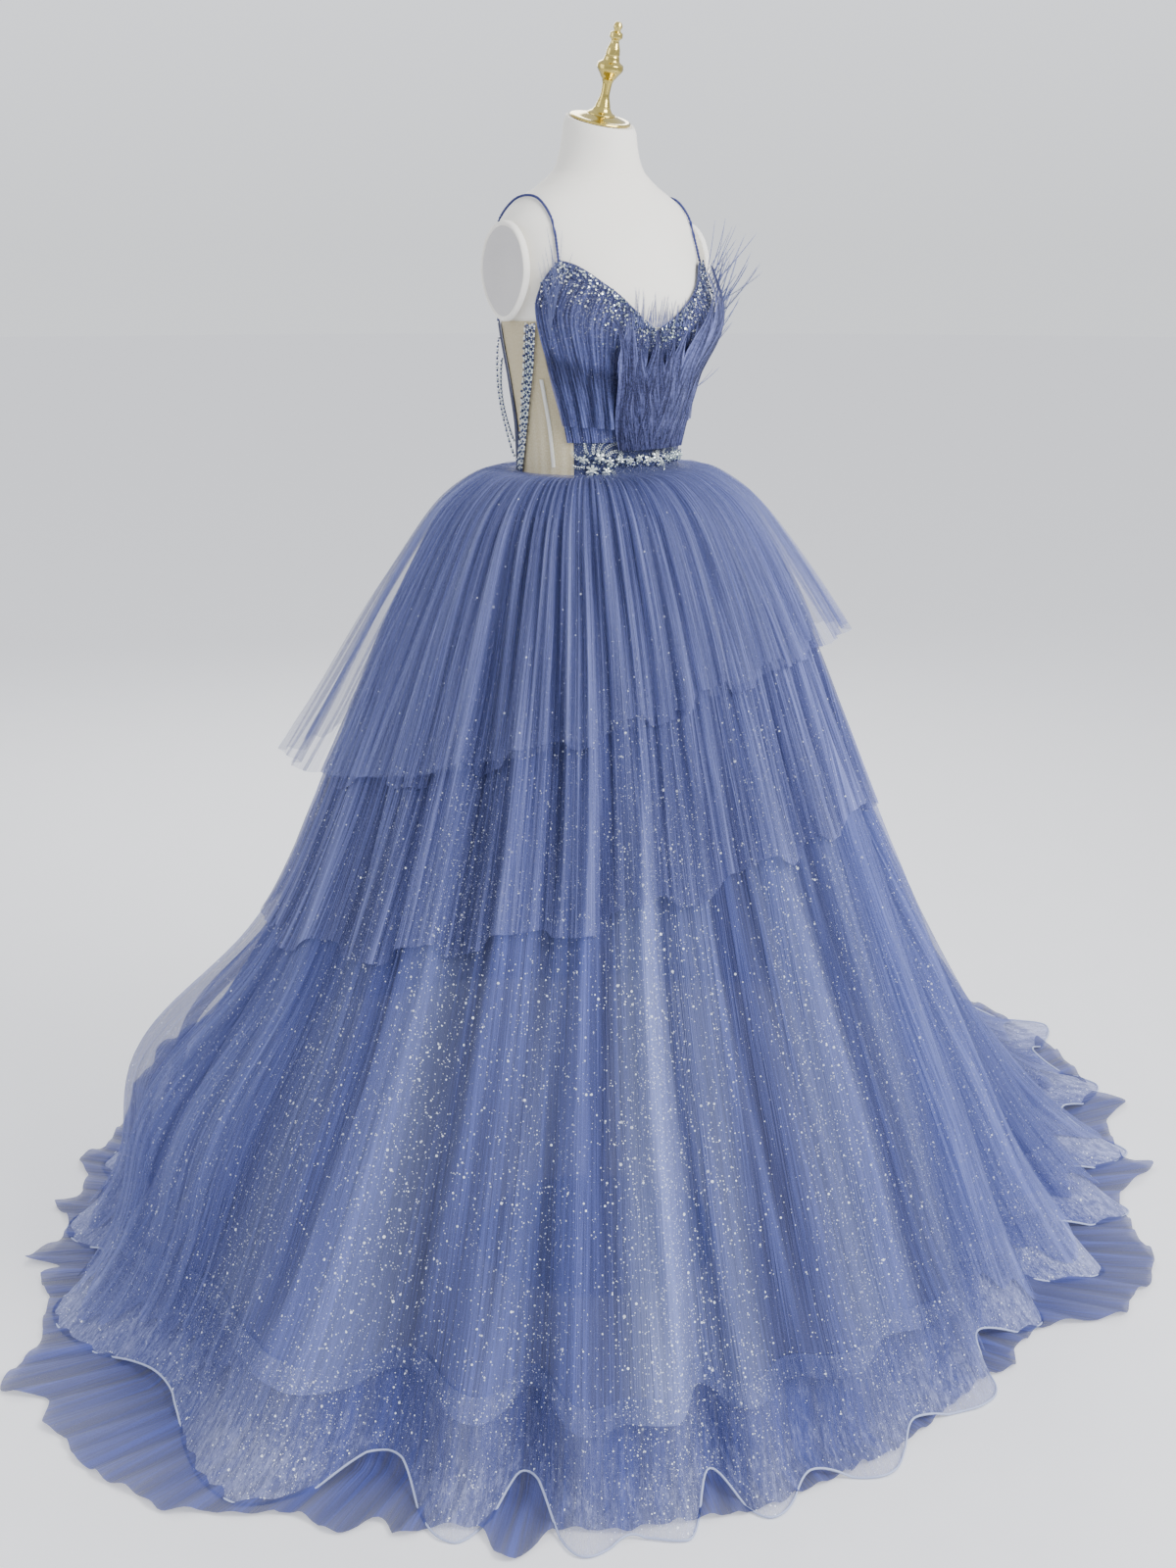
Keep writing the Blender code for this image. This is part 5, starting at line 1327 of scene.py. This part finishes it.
    def sew_neckline(self, word: str, side: float) -> None:
        """Sequins and beads in a band under the neckline, thinning downward."""
        rng = np.random.default_rng(61 + int(side))
        place = self.cup_place(side)
        kinds = {Stone.SEQUIN: (StoneSetting(), "crystal_glass", 0.0026, 250),
                 Stone.BEAD: (StoneSetting(), "dark_bead", 0.0023, 260)}
        for kind, (setting, finish, size, count) in kinds.items():
            for _ in range(count):
                u, v = rng.uniform(0.0, 0.97), 0.012 + rng.exponential(0.06)
                if v > 0.42:
                    continue
                deg, z = place(np.array(u), np.array(v))
                base = Vector(self.shape.point(deg, z, self.cup_out + 0.0012))
                normal = (Vector(self.shape.point(deg, z, 0.02)) - base).normalized()
                tip = Vector(rng.normal(0.0, 0.28, 3))
                setting.put(base, (normal + tip).normalized(), size * float(rng.uniform(0.7, 1.3)),
                            float(rng.uniform(0.0, 6.28)))
            stones = setting.build(f"neck_{kind.name.lower()}s_{word}", kind.template(), finish)
            place_piece(stones, "beaded_lace")

    def build_base(self) -> None:
        """Front base panel of dark lace over the ribs."""
        def place(u: Array, v: Array) -> tuple[Array, Array]:
            """Angle and height at a cloth place."""
            return 50.4 * (2.0 * u - 1.0), 1.19 + (1.0862 - 1.19) * v
        base, points = self.panel("front_base", place, (120, 24), self.base_out, "lace_cloth", None,
                                  {"glitter": lambda u, v: 0.7})
        place_piece(base, "beaded_lace", "bodice_front")

    def build_side(self, word: str, side: float) -> None:
        """Illusion mesh, back placket, beaded lace strip and boning of one side."""
        mesh_top, back_top, bottom = 1.284, 1.274, 1.0862

        def mesh_place(u: Array, v: Array) -> tuple[Array, Array]:
            """Side panel between the front base and the placket."""
            return side * (50.4 + 53.2 * u), mesh_top + (bottom - mesh_top) * v

        def mesh_relief(u: Array, v: Array) -> Array:
            """Slight vertical tension folds."""
            return 0.0006 * (0.5 + 0.5 * ring_folds(u * 350.0, 7, 51)) * ramp(v, 0.2, 1.0)

        def back_place(u: Array, v: Array) -> tuple[Array, Array]:
            """Placket at the edge of the open back."""
            top = back_top + (mesh_top - back_top) * (1.0 - u)
            return side * (104.0 + 24.0 * u), top + (bottom - top) * v

        def placket_relief(u: Array, v: Array) -> Array:
            """Turned edges and a stitched line."""
            edge = bell(u - 0.02, 0.05) + bell(u - 0.98, 0.05)
            return 0.001 * np.minimum(1.0, edge) - 0.0003 * bell(u - 0.16, 0.012)

        def strip(edge: Edge, half: float) -> Place:
            """Strip of even width that follows an edge down the body."""
            keys = sorted(z for z, _ in edge.rows)

            def place(u: Array, v: Array) -> tuple[Array, Array]:
                """Angle and height at a cloth place."""
                z = keys[-1] + (keys[0] - keys[-1]) * v
                return side * (edge.deg_at(z) + half * (2.0 * u - 1.0)), z
            return place

        mesh, points = self.panel(f"illusion_mesh_{word}", mesh_place, (70, 60), self.base_out - 0.0005,
                                  "nude_mesh_cloth", mesh_relief, {}, 0.0006)
        place_piece(mesh, "illusion_mesh", f"side_mesh_{word}")
        placket, points = self.panel(f"placket_{word}", back_place, (40, 50), self.base_out + 0.0004,
                                     "placket_cloth", placket_relief, {}, 0.001)
        place_piece(placket, "placket_satin", f"back_panel_{word}")
        lace, points = self.panel(f"lace_band_{word}", strip(self.lace_edge, 3.7), (12, 90), self.base_out + 0.002,
                                  "lace_cloth", lambda u, v: 0.0004 * np.abs(np.sin(30.0 * v + 5.0 * u)),
                                  {"glitter": lambda u, v: 0.5}, 0.0004)
        place_piece(lace, "beaded_lace", f"lace_strip_{word}")
        tape, points = self.panel(f"boning_tape_{word}", strip(self.boning_edge, 1.5), (16, 60),
                                  self.base_out + 0.0008, "boning_cloth",
                                  lambda u, v: 0.0016 * (1.0 - (2.0 * u - 1.0) ** 4), {}, 0.0016)
        place_piece(tape, "boning_tape", f"boning_{word}")
        self.bead_lace(word, side)

    def bead_lace(self, word: str, side: float) -> None:
        """Silver and dark beads in leaning rows down the lace strip."""
        light, dark = StoneSetting(), StoneSetting()
        rows = 62
        for row in range(rows):
            z = 1.279 + (1.094 - 1.279) * row / (rows - 1)
            for k in range(5):
                across = (k - 2.0) / 2.0
                deg = side * (float(self.lace_edge.deg_at(np.array(z))) + 3.6 * across)
                height = z + 0.0026 * abs(across)
                base = Vector(self.shape.point(deg, height, self.base_out + 0.0024))
                normal = (Vector(self.shape.point(deg, height, 0.02)) - base).normalized()
                setting = dark if (row + 2 * k) % 3 == 0 else light
                setting.put(base, normal, 0.0029 + 0.0008 * math.sin(1.7 * row + k), 0.4 * row)
        place_piece(light.build(f"lace_crystals_{word}", Stone.ROUND.template(), "crystal_glass"), "crystal")
        place_piece(dark.build(f"lace_beads_{word}", Stone.BEAD.template(), "dark_bead"), "crystal")

    def shoulder_height(self, half_width: float) -> float:
        """Height on the shoulder's slope at which the form is this wide."""
        low, high = 1.355, 1.452
        for _ in range(30):
            middle = (low + high) / 2.0
            low, high = (middle, high) if float(self.shape.width_at(np.array(middle))) > half_width else (low, middle)
        return low

    def strap_path(self, side: float) -> Array:
        """Line of a strap: up the chest, over the shoulder and down the back to the placket."""
        start, steps = self.strap_start_deg, 48
        shoulder = self.shoulder_height(self.strap_x / math.sin(math.radians(start)))
        places = [(start, self.strap_foot_z + (shoulder - self.strap_foot_z) * k / 6) for k in range(6)]
        for k in range(steps + 1):
            deg = start + (180.0 - 2.0 * start) * k / steps
            places.append((deg, self.shoulder_height(self.strap_x / math.sin(math.radians(deg)))))
        top = places[-1][1]
        for k in range(1, 25):
            z = top + (1.2815 - top) * k / 24
            wide = float(self.shape.width_at(np.array(z)))
            places.append((180.0 - math.degrees(math.asin(self.strap_x / wide)), z))
        deg, z = np.array(places).T
        return self.shape.point(side * deg, z, self.strap_radius + 0.0008)

    def build_straps(self) -> None:
        """Straps of two twisted rolls of the gown's cloth."""
        for side, word in SIDES:
            path = self.strap_path(side)
            steps = np.linspace(0.0, 1.0, 260)
            keys = np.linspace(0.0, 1.0, len(path))
            line = np.stack([np.interp(steps, keys, path[:, k]) for k in range(3)], axis=-1)
            along = np.gradient(line, axis=0)
            along /= np.linalg.norm(along, axis=-1, keepdims=True)
            first = np.cross(along, np.array([side * 1.0, 0.3, 0.2]))
            first /= np.linalg.norm(first, axis=-1, keepdims=True)
            second = np.cross(along, first)
            turn = steps[:, None] * 2.0 * math.pi * 46.0
            for k, name in enumerate((f"strap_roll_{word}", f"strap_twist_{word}")):
                twist = turn + k * math.pi
                rope = line + 0.0008 * (first * np.cos(twist) + second * np.sin(twist))
                cord = swept_cord(name, rope, 0.0011, "strap_cloth", 6)
                place_piece(cord, "glitter_tulle", *([f"strap_{word}"] if k == 0 else []))

    def build(self) -> None:
        """Builds the bodice from its base outwards."""
        self.build_base()
        for side, word in SIDES:
            self.build_cup(word, side)
            self.build_side(word, side)
        self.build_straps()


@dataclass
class CentreLocks:
    """Gathered tulle locks from the bust in to the waist, the loose ones free at the top."""

    shape: FormShape = field(default_factory=FormShape)
    top_edge: tuple[float, float] = (-33.0, 44.0)
    bottom_edge: tuple[float, float] = (-17.0, 27.0)
    top_z: float = 1.266
    bottom_z: float = 1.1265
    out: float = 0.0072
    relief: float = 0.0105
    # top angle, bottom angle, width in degrees, share of the relief
    locks: tuple[tuple[float, ...], ...] = (
        (-26.0, -13.0, 4.2, 0.6), (-18.0, -9.0, 3.4, 0.9), (-10.0, -4.5, 3.2, 0.75), (-2.5, 0.5, 3.0, 1.0),
        (6.0, 5.5, 3.4, 0.8), (14.5, 10.5, 3.6, 1.0), (24.0, 16.0, 4.2, 0.85), (34.0, 22.0, 4.8, 0.95),
    )
    loose_count: int = 30
    neckline: tuple[tuple[float, float], ...] = ((0.0, 1.272), (10.0, 1.287), (26.0, 1.322), (42.0, 1.352),
                                                 (60.0, 1.352))

    def drape(self) -> None:
        """Crinkled panel the locks are caught on."""
        u, v = np.meshgrid(np.linspace(0.0, 1.0, 301), np.linspace(0.0, 1.0, 91))
        left = self.top_edge[0] + (self.bottom_edge[0] - self.top_edge[0]) * v
        right = self.top_edge[1] + (self.bottom_edge[1] - self.top_edge[1]) * v
        deg = left + (right - left) * u
        z = self.top_z + (self.bottom_z - self.top_z) * v
        height = np.zeros_like(u)
        for top, bottom, width, share in self.locks:
            centre = top + (bottom - top) * v + 0.9 * np.sin(7.0 * v + top)
            height = np.maximum(height, share * bell(deg - centre, width * (1.0 - 0.35 * v) * 0.8))
        crinkle = ring_folds(u * 350.0 + 10.0 * np.sin(4.0 * v), 44, 91, 0.8)
        edge = np.minimum(1.0, np.minimum(6.0 * u, 6.0 * (1.0 - u))) * np.minimum(1.0, 0.35 + 3.0 * v)
        raised = self.relief * height * edge * (1.0 - 0.3 * v) + 0.0009 * crinkle * edge
        points = self.shape.point(deg, z, self.out + raised)
        width, length = row_lengths(points, False)
        uv = np.stack((u * width, v * length), axis=-1)
        ends = np.minimum(ramp(v, 0.0, 0.3), ramp(np.minimum(u, 1.0 - u), 0.0, 0.1))
        # Fold mark: painted light on the raised locks and painted shade in the gaps between them.
        marks = {"fold": np.clip(raised / self.relief, 0.0, 1.0) ** 1.3, "cover": 0.15 + 0.85 * ends}
        obj = grid_object("centre_locks", points, uv, "lock_cloth", False, marks)
        place_piece(obj, "sheer_tulle", "centre_drape")

    def loose(self) -> None:
        """Folded strips that rise from the belt and end in free points."""
        rng = np.random.default_rng(17)
        strips = []
        for k in range(self.loose_count):
            share = (k + rng.uniform(-0.3, 0.3)) / (self.loose_count - 1)
            low = -16.0 + 44.0 * share
            high = -27.0 + 74.0 * share + rng.uniform(-4.0, 4.0)
            edge_z = float(smooth_curve(*zip(*self.neckline), np.array(abs(high))))
            top = edge_z - 0.008 - 0.085 * rng.uniform(0.0, 1.0) ** 1.6
            wide, tone = rng.uniform(0.007, 0.015), rng.uniform(-0.14, 0.2)
            v = np.linspace(0.0, 1.0, 30)[:, None]
            u = np.linspace(-1.0, 1.0, 15)[None, :]
            deg = high + (low - high) * v ** 0.8 + 3.0 * np.sin(5.0 * v + k)
            z = top + (self.bottom_z - 0.004 - top) * v
            half = wide * np.sin(np.pi * np.clip(0.06 + 0.8 * v, 0.0, 1.0)) ** 0.7
            half = half * (0.25 + 0.75 * ramp(v, 0.0, 0.35))
            bow = 0.003 + 0.007 * np.sin(np.pi * (1.0 - v)) + 0.008 * (1.0 - v) ** 3 * rng.uniform(0.1, 1.0)
            ridge = 0.0045 * np.cos(1.4 * u + 0.5 * np.sin(6.0 * v + k)) + 0.0012 * np.sin(9.0 * u + 4.0 * v + k)
            points = self.shape.point(deg + np.degrees(half * u / 0.11), z + 0.0 * u,
                                      self.out + bow + ridge * (0.4 + 0.6 * v))
            uv = np.stack(np.broadcast_arrays(u * 0.008 + 0.05 * k, v * 0.12), axis=-1)
            # rim: painted light along each strip's folded edges; the last factor makes the strips darker toward the
            # belt.
            rim = bell(np.abs(u) - 0.96, 0.13) * (0.6 + 0.4 * np.sin(3.0 * v + 2.0 * k))
            fold = np.clip(0.1 + tone + 0.24 * np.sin(5.0 * u + k) + 1.05 * rim, 0.0, 1.0)
            fold = fold * (0.4 + 0.6 * (1.0 - v))
            strips.append((points, uv, {"fold": fold, "cover": 0.55 + 0.35 * v + 0.3 * rim}))
        obj = strips_object("loose_locks", strips, "loose_lock_cloth")
        place_piece(obj, "sheer_tulle")

    def build(self) -> None:
        """Builds the locks."""
        self.drape()
        self.loose()


# Crystals and feathers --------------------

@dataclass
class CrystalBelt:
    """Belt of crystal flowers with a large leaf spray on the wearer's right front."""

    shape: FormShape = field(default_factory=FormShape)
    centre_z: float = 1.1065
    out: float = 0.0036
    # angle, height above the belt's centre, size of the flower in metres
    flowers: tuple[tuple[float, ...], ...] = (
        (-44.0, 0.004, 0.013), (-38.0, -0.01, 0.017), (-33.0, 0.006, 0.016), (-28.0, -0.012, 0.013),
        (-26.0, 0.001, 0.013), (-19.0, 0.003, 0.012), (-12.0, 0.0, 0.012), (-5.0, 0.003, 0.011),
        (2.0, 0.0, 0.013), (9.0, 0.004, 0.016), (14.0, -0.004, 0.014), (21.0, 0.002, 0.012),
        (28.0, 0.0, 0.011), (35.0, 0.002, 0.011), (42.0, 0.001, 0.013), (48.0, 0.0, 0.014),
    )
    # start angle, start height, lean from upright in degrees, leaves
    leaf_sprays: tuple[tuple[float, ...], ...] = (
        (-39.0, 0.007, -46.0, 8), (-36.5, 0.009, -18.0, 10), (-34.0, 0.01, 2.0, 11), (-31.5, 0.009, 22.0, 10),
        (-29.0, 0.007, 46.0, 8), (-43.0, 0.002, -78.0, 7), (-42.0, -0.005, -108.0, 6), (-37.0, -0.011, -150.0, 5),
        (-31.0, -0.012, 158.0, 5), (-27.0, -0.008, 118.0, 5), (12.0, 0.006, -26.0, 4), (16.0, 0.005, 24.0, 4),
        (17.0, -0.004, 150.0, 4), (47.0, -0.002, 110.0, 4), (-20.0, 0.004, 28.0, 3), (30.0, 0.003, -24.0, 3),
    )

    def seat(self, deg: float, dz: float, lift: float = 0.0) -> tuple[Vector, Vector, Vector, Vector]:
        """A point on the belt with its outward, sideways and up directions."""
        z = self.centre_z + dz
        below = max(0.0, 1.094 - z)
        out = self.out + lift + 0.62 * below
        point = Vector(self.shape.point(deg, max(z, 1.09), out))
        point.z = z
        normal = (Vector(self.shape.point(deg, 1.1, 0.03)) - Vector(self.shape.point(deg, 1.1, 0.0))).normalized()
        side = UP.cross(normal).normalized()
        return point, normal, side, normal.cross(side)

    def build(self) -> None:
        """Sets the flowers, the leaf sprays and the small stones between them."""
        rounds, petals, small = StoneSetting(), StoneSetting(), StoneSetting()
        for k, (deg, dz, size) in enumerate(self.flowers):
            point, normal, side, up = self.seat(deg, dz, 0.0012)
            rounds.put(point + normal * 0.001, normal, size * 0.36, 0.3 * k)
            count = 5 + k % 2
            for m in range(count):
                turn = 2.0 * math.pi * m / count + 0.4 * k
                away = (side * math.cos(turn) + up * math.sin(turn)).normalized()
                tilted = (normal + away * 0.55).normalized()
                self.put_petal(petals, point + away * size * 0.3, tilted, away,
                               (size * 0.44, size * 0.26, size * 0.22))
        for deg, dz, lean, leaves in self.leaf_sprays:
            for m in range(int(leaves)):
                point, normal, side, up = self.seat(deg, dz, 0.001)
                bend = math.radians(lean + 4.0 * m)
                away = (side * math.sin(bend) + up * math.cos(bend)).normalized()
                step = 0.0027 * (m + 0.6)
                for flip in (-1.0, 1.0):
                    leaf = (away + (normal.cross(away)) * 0.95 * flip).normalized()
                    self.put_petal(petals, point + away * step + leaf * 0.0018, (normal + leaf * 0.3).normalized(),
                                   leaf, (0.0033 - 0.00015 * m, 0.0011, 0.0013))
        rng = np.random.default_rng(5)
        for k in range(260):
            deg = -48.0 + 97.0 * k / 259.0
            wide = 0.0065 + 0.008 * float(bell(np.array(deg + 36.0), 7.0))
            point, normal, _, _ = self.seat(deg, float(rng.uniform(-wide, wide)), 0.0)
            (rounds if k % 3 == 0 else small).put(point, (normal + Vector(rng.normal(0.0, 0.2, 3))).normalized(),
                                                  float(rng.uniform(0.0022, 0.0036)), 0.5 * k)
        place_piece(rounds.build("belt_crystals", Stone.ROUND.template(), "crystal_glass"), "crystal",
                    "belt_applique")
        place_piece(petals.build("belt_petals", Stone.PETAL.template(), "crystal_glass"), "crystal")
        place_piece(small.build("belt_beads", Stone.BEAD.template(), "dark_bead"), "crystal")

    @staticmethod
    def put_petal(setting: StoneSetting, point: Vector, normal: Vector, along: Vector,
                  size: tuple[float, float, float]) -> None:
        """Adds a stone whose long side runs along a direction."""
        x = (along - normal * along.dot(normal)).normalized()
        matrix = Matrix((x, normal.cross(x), normal)).transposed()
        setting.points.append(point)
        setting.turns.append(matrix.to_euler())
        setting.sizes.append(size)


@dataclass
class BeadStrings:
    """Strings of small beads that hang free from the edges of the open back."""

    shape: FormShape = field(default_factory=FormShape)
    # name, top height, bottom height, angle, swing
    strings: tuple[tuple, ...] = (("long", 1.262, 1.106, 124.5, 0.013), ("short", 1.236, 1.128, 119.5, 0.009))
    bead: float = 0.0042

    def build(self) -> None:
        """Threads the beads along each string's hang."""
        for side, word in SIDES:
            for name, top, bottom, deg, swing in self.strings:
                t = np.linspace(0.0, 1.0, 44)
                out = 0.0008 + 0.0015 + 0.0004 + 0.0015 + swing * np.sin(np.pi * t) ** 0.8
                path = self.shape.point(side * deg + 0.0 * t, top + (bottom - top) * t, out)
                bright, dark = StoneSetting(), StoneSetting()
                for k, (here, ahead) in enumerate(zip(path, path[1:])):
                    along = (Vector(ahead) - Vector(here)).normalized()
                    size = self.bead * (1.0 - 0.2 * (k % 2))
                    (dark if k % 2 else bright).put(Vector(here), along, size, 0.3 * k)
                node = f"bead_string_{name}_{word}"
                place_piece(bright.build(f"string_crystals_{name}_{word}", Stone.BEAD.template(), "crystal_glass"),
                            "crystal", node)
                place_piece(dark.build(f"string_beads_{name}_{word}", Stone.BEAD.template(), "dark_bead"), "crystal")


@dataclass(frozen=True)
class Spray:
    """A row of feathers: where it is rooted and how its feathers rise."""

    word: str
    start: tuple[float, float]
    end: tuple[float, float]
    root_out: float
    count: int
    length: tuple[float, float]
    up: tuple[float, float]
    outward: tuple[float, float]
    sweep: tuple[float, float]
    width: float
    seed: int


@dataclass
class FeatherSprays:
    """Thin pointed feathers at the cups' sides and over the V of the neckline."""

    shape: FormShape = field(default_factory=FormShape)
    sprays: tuple[Spray, ...] = (
        Spray("left", (46.0, 1.34), (52.0, 1.18), 0.007, 62, (0.045, 0.118), (0.4, 1.5), (0.2, 0.95),
              (-0.3, 0.35), 0.003, 71),
        Spray("right", (-51.0, 1.33), (-60.0, 1.25), 0.0066, 22, (0.035, 0.092), (0.4, 1.2), (0.1, 0.55),
              (-0.15, 0.55), 0.001, 72),
        Spray("centre", (-19.0, 1.276), (19.0, 1.276), 0.0062, 44, (0.014, 0.056), (0.9, 1.3), (0.05, 0.35),
              (-0.3, 0.3), 0.0011, 73),
    )

    def feather(self, root: Vector, heading: Vector, outward: Vector, length: float, width: float,
                curl: float) -> list[tuple]:
        """One feather: a tapering quill and the fine barbs that leave it.

        Args:
            root: Where it grows.
            heading: Direction at its root.
            outward: Direction away from the body.
            length: Its length.
            width: Its width at the root.
            curl: How far it arches back up.

        Returns:
            Strips of points for the quill and each barb.
        """
        steps = 11
        line, along = [root.copy()], heading.normalized()
        for _ in range(steps):
            along = (along + UP * curl / steps + outward * -0.12 * curl / steps).normalized()
            line.append(line[-1] + along * length / steps)
        strips = []
        flat = along.cross(outward)
        flat = flat.normalized() if flat.length > 0.1 else along.orthogonal().normalized()
        rows = []
        for k, point in enumerate(line):
            half = width * (1.0 - k / steps) ** 0.8 / 2.0 + 0.00012
            lift = outward * half * 0.7
            rows.append([point - flat * half, point + lift, point + flat * half])
        strips.append(self.strip(rows))
        for k in range(3, steps):
            for side in (-1.0, 1.0):
                reach = length * 0.2 * (1.0 - 0.6 * k / steps)
                here = (line[k] - line[k - 1]).normalized()
                tip = line[k] + (here + flat * side * 0.38).normalized() * reach + UP * reach * 0.08
                middle = (line[k - 1] + tip) / 2.0 + flat * side * reach * 0.05
                fine = max(width * 0.12, 0.00022)
                cross = outward * fine
                strips.append(self.strip([[line[k - 1] - cross, line[k - 1] + cross],
                                          [middle - cross * 0.7, middle + cross * 0.7],
                                          [tip - cross * 0.15, tip + cross * 0.15]]))
        return strips

    @staticmethod
    def strip(rows: list[list[Vector]]) -> tuple:
        """A strip's grid with its cloth coordinates and marks."""
        points = np.array([[tuple(p) for p in row] for row in rows])
        v = np.linspace(0.0, 1.0, len(rows))[:, None] + 0.0 * points[..., 0]
        u = np.linspace(0.0, 1.0, points.shape[1])[None, :] + 0.0 * points[..., 0]
        return points, np.stack((u * 0.004, v * 0.08), axis=-1), {"fold": 0.25 + 0.75 * v, "cover": 1.0 - 0.75 * v}

    def build(self) -> None:
        """Grows every spray."""
        for spray in self.sprays:
            rng = np.random.default_rng(spray.seed)
            strips = []
            for k in range(spray.count):
                t = (k + rng.uniform(0.2, 0.8)) / spray.count
                deg = spray.start[0] + (spray.end[0] - spray.start[0]) * t
                z = spray.start[1] + (spray.end[1] - spray.start[1]) * t
                root = Vector(self.shape.point(deg, z, spray.root_out))
                outward = root - Vector(self.shape.surface(deg, z))
                outward = Vector((outward.x, outward.y, 0.0)).normalized()
                side = UP.cross(outward)
                up, out, sweep = (rng.uniform(*span) for span in (spray.up, spray.outward, spray.sweep))
                heading = UP * float(up) + outward * float(out) + side * float(sweep)
                length = float(rng.uniform(*spray.length)) * (1.0 - 0.35 * t)
                strips += self.feather(root, heading, outward, length, spray.width * float(rng.uniform(0.6, 1.2)),
                                       float(rng.uniform(0.1, 0.7)))
            obj = strips_object(f"feathers_{spray.word}", strips, "feather_cloth")
            place_piece(obj, "feather", f"feather_spray_{spray.word}")


# Studio --------------------

@dataclass
class Studio:
    """Pale floor, soft lights and the camera at the photograph's viewing angle."""

    camera_deg: float = -40.0
    camera_far: float = 2.68
    camera_z: float = 1.377
    camera_pitch: float = math.radians(10.7)
    camera_yaw_px: float = 10.0
    focal_px: float = 2086.0
    photo_height: float = 1600.0
    shift_y: float = -0.0975
    sensor: float = 36.0
    floor_radius: float = 30.0
    floor_glow: float = 0.36
    backdrop_seen: float = 1.55
    # angle, distance, height, size, watts
    lights: tuple[tuple[float, ...], ...] = (
        (14.0, 2.9, 2.5, 1.8, 150.0), (-115.0, 3.2, 1.9, 2.2, 30.0), (150.0, 3.0, 2.6, 1.8, 60.0),
    )

    @staticmethod
    def stood(deg: float, far: float, z: float) -> Vector:
        """A place round the gown, by angle, distance and height."""
        return Vector((math.sin(math.radians(deg)) * far, -math.cos(math.radians(deg)) * far, z))

    def build_camera(self) -> None:
        """Camera whose frame matches the photograph's."""
        data = bpy.data.cameras.new("photo_camera")
        camera = bpy.data.objects.new("photo_camera", data)
        bpy.context.scene.collection.objects.link(camera)
        camera.location = self.stood(self.camera_deg, self.camera_far, self.camera_z)
        camera.rotation_euler = (math.pi / 2.0 - self.camera_pitch, 0.0,
                                 math.radians(self.camera_deg) + math.atan(self.camera_yaw_px / self.focal_px))
        data.sensor_width = self.sensor
        data.lens = self.focal_px * self.sensor / self.photo_height
        data.shift_y = self.shift_y
        bpy.context.scene.camera = camera

    def build_floor(self) -> None:
        """Plain pale floor and an even pale surround."""
        floor = lathe("studio_floor", ((self.floor_radius, 0.0), (self.floor_radius, -0.02)), 64, "studio_floor")
        floor.location = (0.0, 0.0, -0.0005)
        paint = floor.data.materials[0].node_tree
        shader = next(node for node in paint.nodes if node.type == "BSDF_PRINCIPLED")
        shader.inputs["Emission Color"].default_value = (0.94, 0.95, 1.0, 1.0)
        self.seen_only(Wiring(paint), shader.inputs["Emission Strength"], 0.0, self.floor_glow)
        world = bpy.data.worlds.new("studio_world")
        world.use_nodes = True
        w = Wiring(world.node_tree)
        height = w.add("ShaderNodeSeparateXYZ", {0: w.add("ShaderNodeTexCoord").outputs["Generated"]}).outputs[2]
        backdrop = world.node_tree.nodes["Background"]
        w.feed(backdrop.inputs["Color"], w.blend(w.span(height, 0.0, 0.22),
                                                 (0.705, 0.725, 0.76), (0.92, 0.94, 1.0)))
        self.seen_only(w, backdrop.inputs["Strength"], 0.95, self.backdrop_seen)
        bpy.context.scene.world = world

    @staticmethod
    def seen_only(w: Wiring, socket: Socket, lit: float, seen: float) -> None:
        """Gives a strength one value as light and another as the camera sees it."""
        camera_ray = w.add("ShaderNodeLightPath").outputs["Is Camera Ray"]
        w.feed(socket, w.add("ShaderNodeMapRange", {0: camera_ray, 3: lit, 4: seen}).outputs[0])

    def build_lights(self) -> None:
        """Large soft lamps round the gown, strongest in front on the wearer's left."""
        for k, (deg, far, z, size, watts) in enumerate(self.lights):
            data = bpy.data.lights.new(f"soft_light_{k}", "AREA")
            data.size, data.energy = size, watts
            lamp = bpy.data.objects.new(data.name, data)
            lamp.location = self.stood(deg, far, z)
            lamp.rotation_euler = (Vector((0.0, 0.0, 0.75)) - lamp.location).to_track_quat("-Z", "Y").to_euler()
            bpy.context.scene.collection.objects.link(lamp)

    def build(self) -> None:
        """Sets the whole stage."""
        self.build_floor()
        self.build_lights()
        self.build_camera()


def main() -> None:
    """Builds the gown from the form outwards, then the studio."""
    logging.basicConfig(level=logging.INFO, format="%(name)s: %(message)s")
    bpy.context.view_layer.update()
    for part in (DressForm(), Bodice(), CentreLocks(), CrystalBelt(), BeadStrings(), FeatherSprays(),
                 GatheredSkirt(), Studio()):
        part.build()
        LOG.info("built %s", type(part).__name__)
    drop_templates()


if __name__ == "__main__":
    main()
